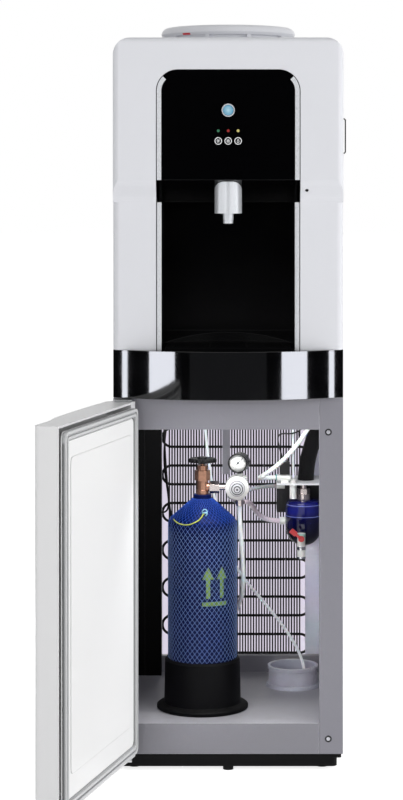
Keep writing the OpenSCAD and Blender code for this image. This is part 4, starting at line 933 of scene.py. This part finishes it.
def strip(line, width, depth):
    """Ribbon along a flat (x, z) line: each row is the line -+ half a width along its normal."""
    line = np.asarray(line, float)
    heading = heading_of(line)
    normal = np.stack([-heading[:, 1], heading[:, 0]], 1)
    edge = np.stack([line - normal * width / 2, line + normal * width / 2], 1)
    return xyz(edge[..., 0], depth, edge[..., 1])


a = np.linspace(0, 2 * pi, 49)
halo = HALO_R * np.stack([np.cos(a), np.sin(a)], 1)
rise = np.linspace(-2.2, 2.2, 15)
spokes = [np.outer(np.linspace(-2.6, 2.6, 5), (cos(k), sin(k))) for k in np.radians((0, 60, 120))]
waves = [np.stack([x + 0.35 * np.sin(rise * 2.6), rise], 1) for x in (-1.5, 0, 1.5)]
b = np.linspace(0, 2 * pi, 33)[1:-1]
drop = [np.stack([1.7 * np.sin(b) * np.sin(b / 2), 2.4 * np.cos(b)], 1)]
for name, k, sign in (("cold", -1, spokes), ("hot", 0, waves), ("ambient", 1, drop)):
    centre = np.array((k * KEY_PITCH, FACE - KEY_PROUD, KEY_Z))
    ribbons = [strip(halo, HALO_WIDTH, 0.0)] + [strip(line, SIGN_WIDTH, 0.0) for line in sign]
    make_piece(name + "_sign", [place(ribbon + centre) for ribbon in ribbons], print_white,
               name + "_key", wrap=False, caps=False, behind=place(centre + WELL_BEHIND))

# %% [markdown]
# ## The gauge
#
# The gauge is turned a little to the left. Its dial is a white disc with fine ticks round three quarters
# of a turn and a glass over it. The needle is a solid of its own, with its own joint, so the dial only has
# to stay behind it.

# %% Dial, ticks and glass
GAUGE, LEAN = np.array((16.25, 97.5, 418.2)), radians(-14)
TICKS, TICK_OUT, TICK_DEPTH = 28, 10.9, -9.25
LONG_TICK, SHORT_TICK = (8.3, 0.4), (9.6, 0.25)            # where a tick begins, and its width
dial_white = smooth("dial_white", (232, 232, 230), 0.45, spread=0.02)
dial = [(12.2, -9.02), (12.2, -9.15), (0.02, -9.15)]
make_piece("gauge_dial", [turned_shape(dial, GAUGE, lean=LEAN)], dial_white)
ink = smooth("dial_ink", (104, 104, 108), 0.5, spread=0.1)
ticks = []
for i, a in enumerate(np.radians(np.linspace(225, -45, TICKS))):
    begin, width = LONG_TICK if i % 3 == 0 else SHORT_TICK
    line = np.outer((begin, TICK_OUT), (cos(a), sin(a)))
    ticks.append(place(turn_about_z(strip(line, width, TICK_DEPTH), LEAN) + GAUGE))
make_piece("gauge_ticks", ticks, ink, wrap=False, caps=False,
           behind=place(GAUGE + WELL_BEHIND))
glass = smooth("gauge_glass", (235, 240, 242), 0.03, patch=0.01, spread=0.01, see=0.05)
lens = [(12.25, -11.2), (12.25, -11.6), (9.0, -12.2), (5.0, -12.5), (0.02, -12.6), (0.01, -12.2),
        (5.0, -12.1), (9.0, -11.8)]
make_piece("gauge_glass", [turned_shape(lens, GAUGE, lean=LEAN)], glass, caps=False)

# %% [markdown]
# ## The carbonator's bowl and the drain cock
#
# The bowl is blown plastic with a round end and two moulded joint lines. It could stay the plain solid, but
# its bottom is rounder, and its colour goes from a bright blue under the cap to nearly black, which is
# painted light and painted shade over one blue. It is a turned shape about an upright axis: an ellipse for
# the bottom, then the wall, then the neck.

# %% Bowl and bands
BOWL, BOWL_R, ROUND_END = np.array((112.0, 200.0, 281.0)), 27.0, 30.0
NECK = [(27.0, 57.5), (25.4, 60.0), (25.4, 63.5), (24.0, 66.6), (21.0, 68.0)]
NAVY_Z, BRIGHT_Z = (0.281, 0.322), (0.322, 0.333)


def turned_upright(profile, foot, sides=64):
    """Profile (radius, height) round an upright axis: P = foot + (r cos a, r sin a, h)."""
    return place(xyz(*carried_round(profile, sides)) + foot)


def ring_at(foot, radius, low_end, high_end, thick):
    """Ring with a bevelled outer face from one height to another, open inside, where it lies on a radius."""
    bevel, out = thick / 2, radius + thick
    profile = [(radius, low_end), (radius + bevel, low_end), (out, low_end + bevel),
               (out, high_end - bevel), (radius + bevel, high_end), (radius, high_end)]
    return turned_upright(profile, foot)


def blue_with_painted_light(tree):
    """Painted light and shade by Object Z: nearly black low, navy in the middle, clear blue above the joint.
    """
    lower = tint(tree, by_place(tree, "Z", *NAVY_Z), srgb(5, 5, 22), srgb(7, 7, 50))
    return tint(tree, by_place(tree, "Z", *BRIGHT_Z), lower, srgb(8, 12, 88))


bowl = [(BOWL_R * sin(t), ROUND_END * (1 - cos(t))) for t in np.radians(np.linspace(2, 90, 16))] + NECK
bowl_coat = smooth("blown_blue", (11, 10, 80), 0.1, spread=0.12, coat=0.35, coat_rough=0.02, ior=1.4,
                   paint=blue_with_painted_light)
make_piece("bowl_shell", [turned_upright(bowl, BOWL)], bowl_coat, replaces=("carbonator_bowl",))
band_pale = smooth("joint_line", (112, 122, 186), 0.2, spread=0.1, coat=0.8)
bands = [ring_at(BOWL, BOWL_R - 0.05, 45.0, 46.0, 0.3), ring_at(BOWL, 25.35, 61.0, 62.4, 0.35)]
make_piece("bowl_bands", bands, band_pale, caps=False, replaces=("carbonator_bowl",))

# %% [markdown]
# The drain cock's two nuts and its teal collar are rings of the same kind as the bowl's bands.

# %% Cock rings
COCK, COCK_R = np.array((107.0, 158.0, 281.0)), 5.95
cock_plate = smooth("cock_plating", (208, 210, 214), 0.18, metal=1.0, spread=0.06)
nuts = [ring_at(COCK, COCK_R, bottom, top, 0.6) for bottom, top in ((-12.0, -9.0), (1.0, 6.0))]
make_piece("cock_nuts", nuts, cock_plate, caps=False)
cock_teal = smooth("cock_teal", (150, 190, 180), 0.3, spread=0.08)
make_piece("cock_collar", [ring_at(COCK, COCK_R, 20.0, 25.0, 0.5)], cock_teal, caps=False)

# %% [markdown]
# ## Screws
#
# The right stile has two pan-head screws, each in a dark ring that is painted shade of the dimple round it,
# and the regulator's two lugs have one each. A screw head is a polar grid: the rings close in to the middle,
# and the depth drops where the place is inside a cross. The door shuts over the stile, so these heads are as
# flat as the solids that they stand for.

# %% Screw heads
CROSS = (0.2, 0.72)                # half width and half length of the cross, in head radii
STILE_SCREWS = [(139.5, 0.0, 473.0), (139.5, 0.0, 45.0)]
LUG_R, LUG_Y = 16.2, 88.5          # the lugs stand round the knob's axis
LUGS = [(KNOB[0] + LUG_R * cos(a), LUG_Y, KNOB[2] + LUG_R * sin(a)) for a in np.radians((50, 230))]


def screw_head(centre, radius, proud, depth):
    """Rows from rim to middle, d = -proud (1 - (r/R)^4 / 3), sunk by depth where x and z lie in the cross."""
    r = np.concatenate([[1.0], np.linspace(1.0, 0.02, 16)])[:, None] * radius
    a = np.linspace(0, 2 * pi, 64, endpoint=False)[None]
    x, z = r * np.cos(a), r * np.sin(a)
    small, large = np.minimum(abs(x), abs(z)) / radius, np.maximum(abs(x), abs(z)) / radius
    sunk = (small < CROSS[0]) & (large < CROSS[1])
    d = -proud * (1 - (r / radius) ** 4 / 3) + depth * sunk
    d[0] = 0.0
    return place(np.stack([x, d, z], -1) + np.array(centre))


plated = smooth("plated_screw", (196, 197, 203), 0.24, metal=0.5)
cup_and_shade_black = smooth("screw_cup_and_painted_shade", (22, 22, 26), 0.4, spread=0.1)
make_piece("stile_screw_heads", [screw_head(c, 2.6, 0.45, 0.4) for c in STILE_SCREWS], plated,
           replaces=("stile_screws",))
rim = [(4.8, 0.0), (4.8, -0.2), (4.5, -0.4), (2.9, -0.25), (2.7, 0.0)]
# The dark rings round the stile's screws are painted shade of the dimples in the sheet.
make_piece("stile_screw_shade_rings", [turned_shape(rim, c) for c in STILE_SCREWS], cup_and_shade_black,
           caps=False, replaces=("stile_screws",))
make_piece("lug_screws", [screw_head(c, 2.2, 1.2, 0.7) for c in LUGS], plated)
lug_rim = [(3.1, 0.0), (3.1, -0.4), (2.4, -0.5), (2.3, 0.0)]
make_piece("lug_washers", [turned_shape(lug_rim, c, 32) for c in LUGS], cup_and_shade_black,
           caps=False)

# %% [markdown]
# ## Small trim
#
# A few pieces are seen only as a dot or a line. There is a plug on the right shoulder, and a thin rail on the
# right side, which is a wire with two bends.

# %% Plug and rail
plug_black = smooth("plug_black", (6, 6, 7), 0.5, ior=1.3)
plug = [(2.3, 1.5), (2.3, -0.3), (1.9, -0.8), (0.02, -1.0)]
make_piece("shoulder_plug", [turned_shape(plug, (109, -12.9, 810), 24)], plug_black)

SIDE_X, RAIL_Y, RAIL_LOW, RAIL_HIGH = 160.0, 70.0, 862.0, 911.0
RAIL_OUT, RAIL_BEND, RAIL_R = 6.7, 2.5, 0.0009
a = np.linspace(0, pi / 2, 7)
upper = xyz(SIDE_X + RAIL_OUT - RAIL_BEND + RAIL_BEND * np.sin(a), RAIL_Y,
            RAIL_HIGH - RAIL_BEND + RAIL_BEND * np.cos(a))
lower = (upper * (1, 1, -1) + (0, 0, RAIL_LOW + RAIL_HIGH))[::-1]
ends = [[(SIDE_X + 0.1, RAIL_Y, z)] for z in (RAIL_HIGH, RAIL_LOW)]
rail = place(np.vstack([ends[0], upper, lower, ends[1]]))
make_piece("side_rail", [swept(rail, heading_of(rail), RAIL_R, 10, (0, 1, 0))], plug_black)

# %% [markdown]
# A red mark shows where the collar locks. It is a patch of the collar's own cone and turns with it. The inlet
# valve holds its tube in a teal collet.

# %% Mark and collet
BOTTLE_Y, TOP_Z, COLLAR_R = 172.0, 1021.5, 98.0
MARK_UP, MARK_AT, MARK_HALF = (10.8, 13.4), radians(-38.4), 0.07
mark_red = smooth("mark_red", (206, 44, 52), 0.4, spread=0.06)
up = np.linspace(*MARK_UP, 4)[:, None]
turn = MARK_AT + np.linspace(-MARK_HALF, MARK_HALF, 9)[None]
reach = COLLAR_R - 3 + 3 * (up - 10) / 4.5 + 0.15          # the collar's cone, and a little over it
mark = xyz(reach * np.sin(turn), BOTTLE_Y - reach * np.cos(turn), TOP_Z + up)
make_piece("collar_mark", [place(mark)], mark_red, "collar", wrap=False, caps=False,
           behind=place((0, BOTTLE_Y, TOP_Z)))

collet_teal = smooth("collet_teal", (96, 156, 150), 0.35, spread=0.06)
collet = [(3.5, 0.1), (4.6, 0.1), (4.6, 1.2), (4.1, 1.9), (3.5, 1.9)]
make_piece("inlet_collet", [turned_shape(collet, (72.0, 184.0, 384.5), 24, lean=pi / 2)], collet_teal,
           caps=False)

# %% [markdown]
# ## The stage
#
# The studio is made of plain sheets, which belong to the picture and not to the machine. Some are left in
# reflections only. A ray that the camera sends, straight or by a mirror, can be told from a ray that only
# lights something, so floor and sky can look white without flooding the machine with light.

# %% Stage helpers
BLACK = (0.0, 0.0, 0.0, 1.0)


def stage_sheet(name, grid, material):
    """An open grid of points that belongs to the studio, not to the machine."""
    mesh = bpy.data.meshes.new(name)
    mesh.from_pydata(grid.reshape(-1, 3).tolist(), [], quads_of(*grid.shape[:2], False).tolist())
    mesh.materials.append(material)
    sheet = bpy.data.objects.new(name, mesh)
    bpy.context.collection.objects.link(sheet)
    return sheet


def mirror_only(sheet):
    """Leaves a sheet in reflections, and out of everything else."""
    sheet.visible_camera = sheet.visible_diffuse = sheet.visible_shadow = sheet.visible_transmission = False


def seen(tree):
    """1 for camera, glossy and transmission rays, else 0."""
    path = add(tree, "ShaderNodeLightPath").outputs
    mirrored = calc(tree, "MAXIMUM", path["Is Camera Ray"], path["Is Glossy Ray"])
    return calc(tree, "MAXIMUM", mirrored, path["Is Transmission Ray"])


def studio_material(name, colour, glow=0.0, tone=(1.0, 1.0, 1.0, 1.0)):
    """Dull studio sheet without gloss, with an even glow if asked."""
    return new_material(name, {"Base Color": colour, "Roughness": 0.9, "Specular IOR Level": 0.0,
                               "Emission Color": tone, "Emission Strength": glow})


print("stage helpers ready")

# %% [markdown]
# The machine stands on a pale floor that is white where the camera looks at it, but still takes a shadow. Two
# black sheets bent round the front are seen only in polished pieces. Without them the panel and the drip band
# would mirror a white room and look grey. The wide one is low, so that the tap still mirrors the white room.

# %% Floor, flags and world
FLOOR_GLOW, SKY_LIGHT, SKY_SEEN = 0.8, 0.3, 1.0
FLAG_R, FLAG_FOOT = 4.2, -0.5
floor_white, tree, shader = studio_material("studio_floor", (0.8, 0.8, 0.8, 1.0))
tree.links.new(calc(tree, "MULTIPLY", seen(tree), FLOOR_GLOW), shader["Emission Strength"])
span = np.array([-30.0, 30.0])
stage_sheet("studio_floor", xyz(span[None], span[:, None], 0.0), floor_white)

flag_black, _, _ = studio_material("studio_flag", BLACK)
for name, half_turn, top in (("band_flag", 72, 0.62), ("panel_flag", 14, 1.45)):
    a = np.radians(np.linspace(-half_turn, half_turn, 25))[None]
    flag = xyz(FLAG_R * np.sin(a), -FLAG_R * np.cos(a), np.array([FLAG_FOOT, top])[:, None])
    mirror_only(stage_sheet(name, flag, flag_black))

world = bpy.data.worlds.new("studio_world")
bpy.context.scene.world = world
world.use_nodes = True
tree = world.node_tree
sky = tree.nodes["Background"]
sky.inputs["Color"].default_value = (1.0, 1.0, 1.0, 1.0)
tree.links.new(remap(tree, seen(tree), 0.0, 1.0, SKY_LIGHT, SKY_SEEN), sky.inputs["Strength"])
print("flags at", FLAG_R, "m")

# %% [markdown]
# The machine is open at the back, and the photograph shows what looks like a shaded wall through the
# condenser's wires. A card does this. It is clear from behind and from the side, so it never hides the
# machine.

# %% Wall behind the condenser
WALL_X, WALL_Y, WALL_Z = (-0.128, 0.150), 0.331, (0.02, 0.53)
WALL_FADE = (0.25, 0.4)            # facing values: shown up to about 40 degrees from square
wall, tree, shader = studio_material("studio_wall", BLACK, 1.0, srgb(219, 212, 228))
aside = remap(tree, add(tree, "ShaderNodeLayerWeight").outputs["Facing"], *WALL_FADE)
hidden = calc(tree, "MAXIMUM", aside, add(tree, "ShaderNodeNewGeometry").outputs["Backfacing"])
tree.links.new(calc(tree, "SUBTRACT", 1.0, hidden), shader["Alpha"])
card = stage_sheet("studio_wall", xyz(np.array(WALL_X)[None], WALL_Y, np.array(WALL_Z)[:, None]), wall)
card.visible_diffuse = card.visible_glossy = card.visible_shadow = False
print("wall card", round(WALL_X[1] - WALL_X[0], 3), "m wide")

# %% [markdown]
# ## Lights
#
# Soft boxes give even light, and their mirror images are left to white cards, so that brightness and
# reflections can be set apart. Two wide and two narrow cards make the four bright strips on the drip band,
# at twice the angle of the band's own slope there, and a low dim one lifts the band between them. Light
# linking shows these cards to the band alone.

# %% Light helpers
band_only = bpy.data.collections.new("drip_band_only")
band_only.objects.link(frame["nodes"]["drip_shroud"])


def around(azimuth, distance, height):
    """Place on a circle about the machine: 0 is straight in front, 90 on the right."""
    a = radians(azimuth)
    return Vector((distance * sin(a), -distance * cos(a), height))


def softbox(name, spot, target, width, tall, radiance, shows=False, spread=pi, spares=()):
    """Area light aimed at a target, of power radiance * pi * area, that leaves out the solids it spares."""
    data = bpy.data.lights.new(name, "AREA")
    data.shape, data.size, data.size_y = "RECTANGLE", width, tall
    data.energy = radiance * pi * width * tall
    data.spread = spread
    lamp = bpy.data.objects.new(name, data)
    lamp.location = spot
    lamp.rotation_euler = (Vector(target) - spot).to_track_quat("-Z", "Y").to_euler()
    lamp.visible_camera = False
    lamp.visible_glossy = shows
    bpy.context.collection.objects.link(lamp)
    if spares:
        spared = bpy.data.collections.new(name + "_spares")
        for node in spares:
            spared.objects.link(frame["nodes"][node])
        lamp.light_linking.receiver_collection = spared
        for member in spared.collection_objects:
            member.light_linking.link_state = "EXCLUDE"


def bright_card(name, azimuth, distance, width, low, high, glow):
    """Upright white card, square to its own azimuth, that shows in the drip band only."""
    spot, a = np.array(around(azimuth, distance, 0.0)), radians(azimuth)
    sideways = np.array((cos(a), sin(a), 0.0)) * width / 2
    foot = np.stack([spot - sideways, spot + sideways])
    material, _, _ = studio_material(name, BLACK, glow, (0.9, 0.92, 1.0, 1.0))
    card = stage_sheet(name, np.stack([foot + (0, 0, low), foot + (0, 0, high)]), material)
    mirror_only(card)
    card.light_linking.receiver_collection = band_only


print("light helpers ready")

# %% [markdown]
# The boxes are set so that a surface that faces the camera renders about as its colour is written. One box on
# the right looks at the open door's lining, a small strip under the top rail opens up the cabinet, and a box
# at the back lights its floor through the condenser. A narrow beam from the front reaches the things deep in
# the cabinet. It spares the door, which would stand in the beam when it is shut and turn plain white.

# %% Lights
CARD_LOW, CARD_HIGH, CARD_GLOW = 0.12, 0.6, 12.5       # only the drip band mirrors this height
for side in (-1, 1):
    softbox("side_softbox", around(side * 38, 2.6, 0.95), (0, 0, 0.8), 0.66, 1.8, 2.1)
    bright_card("wide_card", side * 38.1, 2.6, 0.69, CARD_LOW, CARD_HIGH, CARD_GLOW)
    bright_card("narrow_card", side * 60.8, 2.6, 0.155, CARD_LOW, CARD_HIGH, CARD_GLOW)
bright_card("low_card", 0, 3.9, 4.2, 0.02, 0.6, 0.1)
softbox("front_fill", around(-18, 3.1, 0.85), (0, 0, 0.35), 1.1, 1.1, 5.4)
softbox("cabinet_beam", around(-16, 2.2, 0.40), place((60, 250, 245)), 0.16, 0.40, 0.5, spread=radians(5),
        spares=("door_shell", "door_liner", "door_gasket"))
softbox("rear_fill", Vector((0.0, 1.2, 0.75)), (0.05, 0.15, 0.07), 0.9, 0.5, 8.0)
softbox("door_fill", around(75, 2.6, 0.75), (-0.2, -0.1, 0.4), 0.8, 1.6, 9.2)
softbox("overhead", around(0, 1.2, 2.6), (0, 0.2, 0.8), 1.6, 1.2, 0.7)
softbox("cabinet_strip", Vector(place((10, 22, 508))), place((10, 190, 200)), 0.22, 0.03, 28.0, shows=True)
bpy.context.scene.view_settings.view_transform = "Standard"
print(len(bpy.data.lights), "lamps")
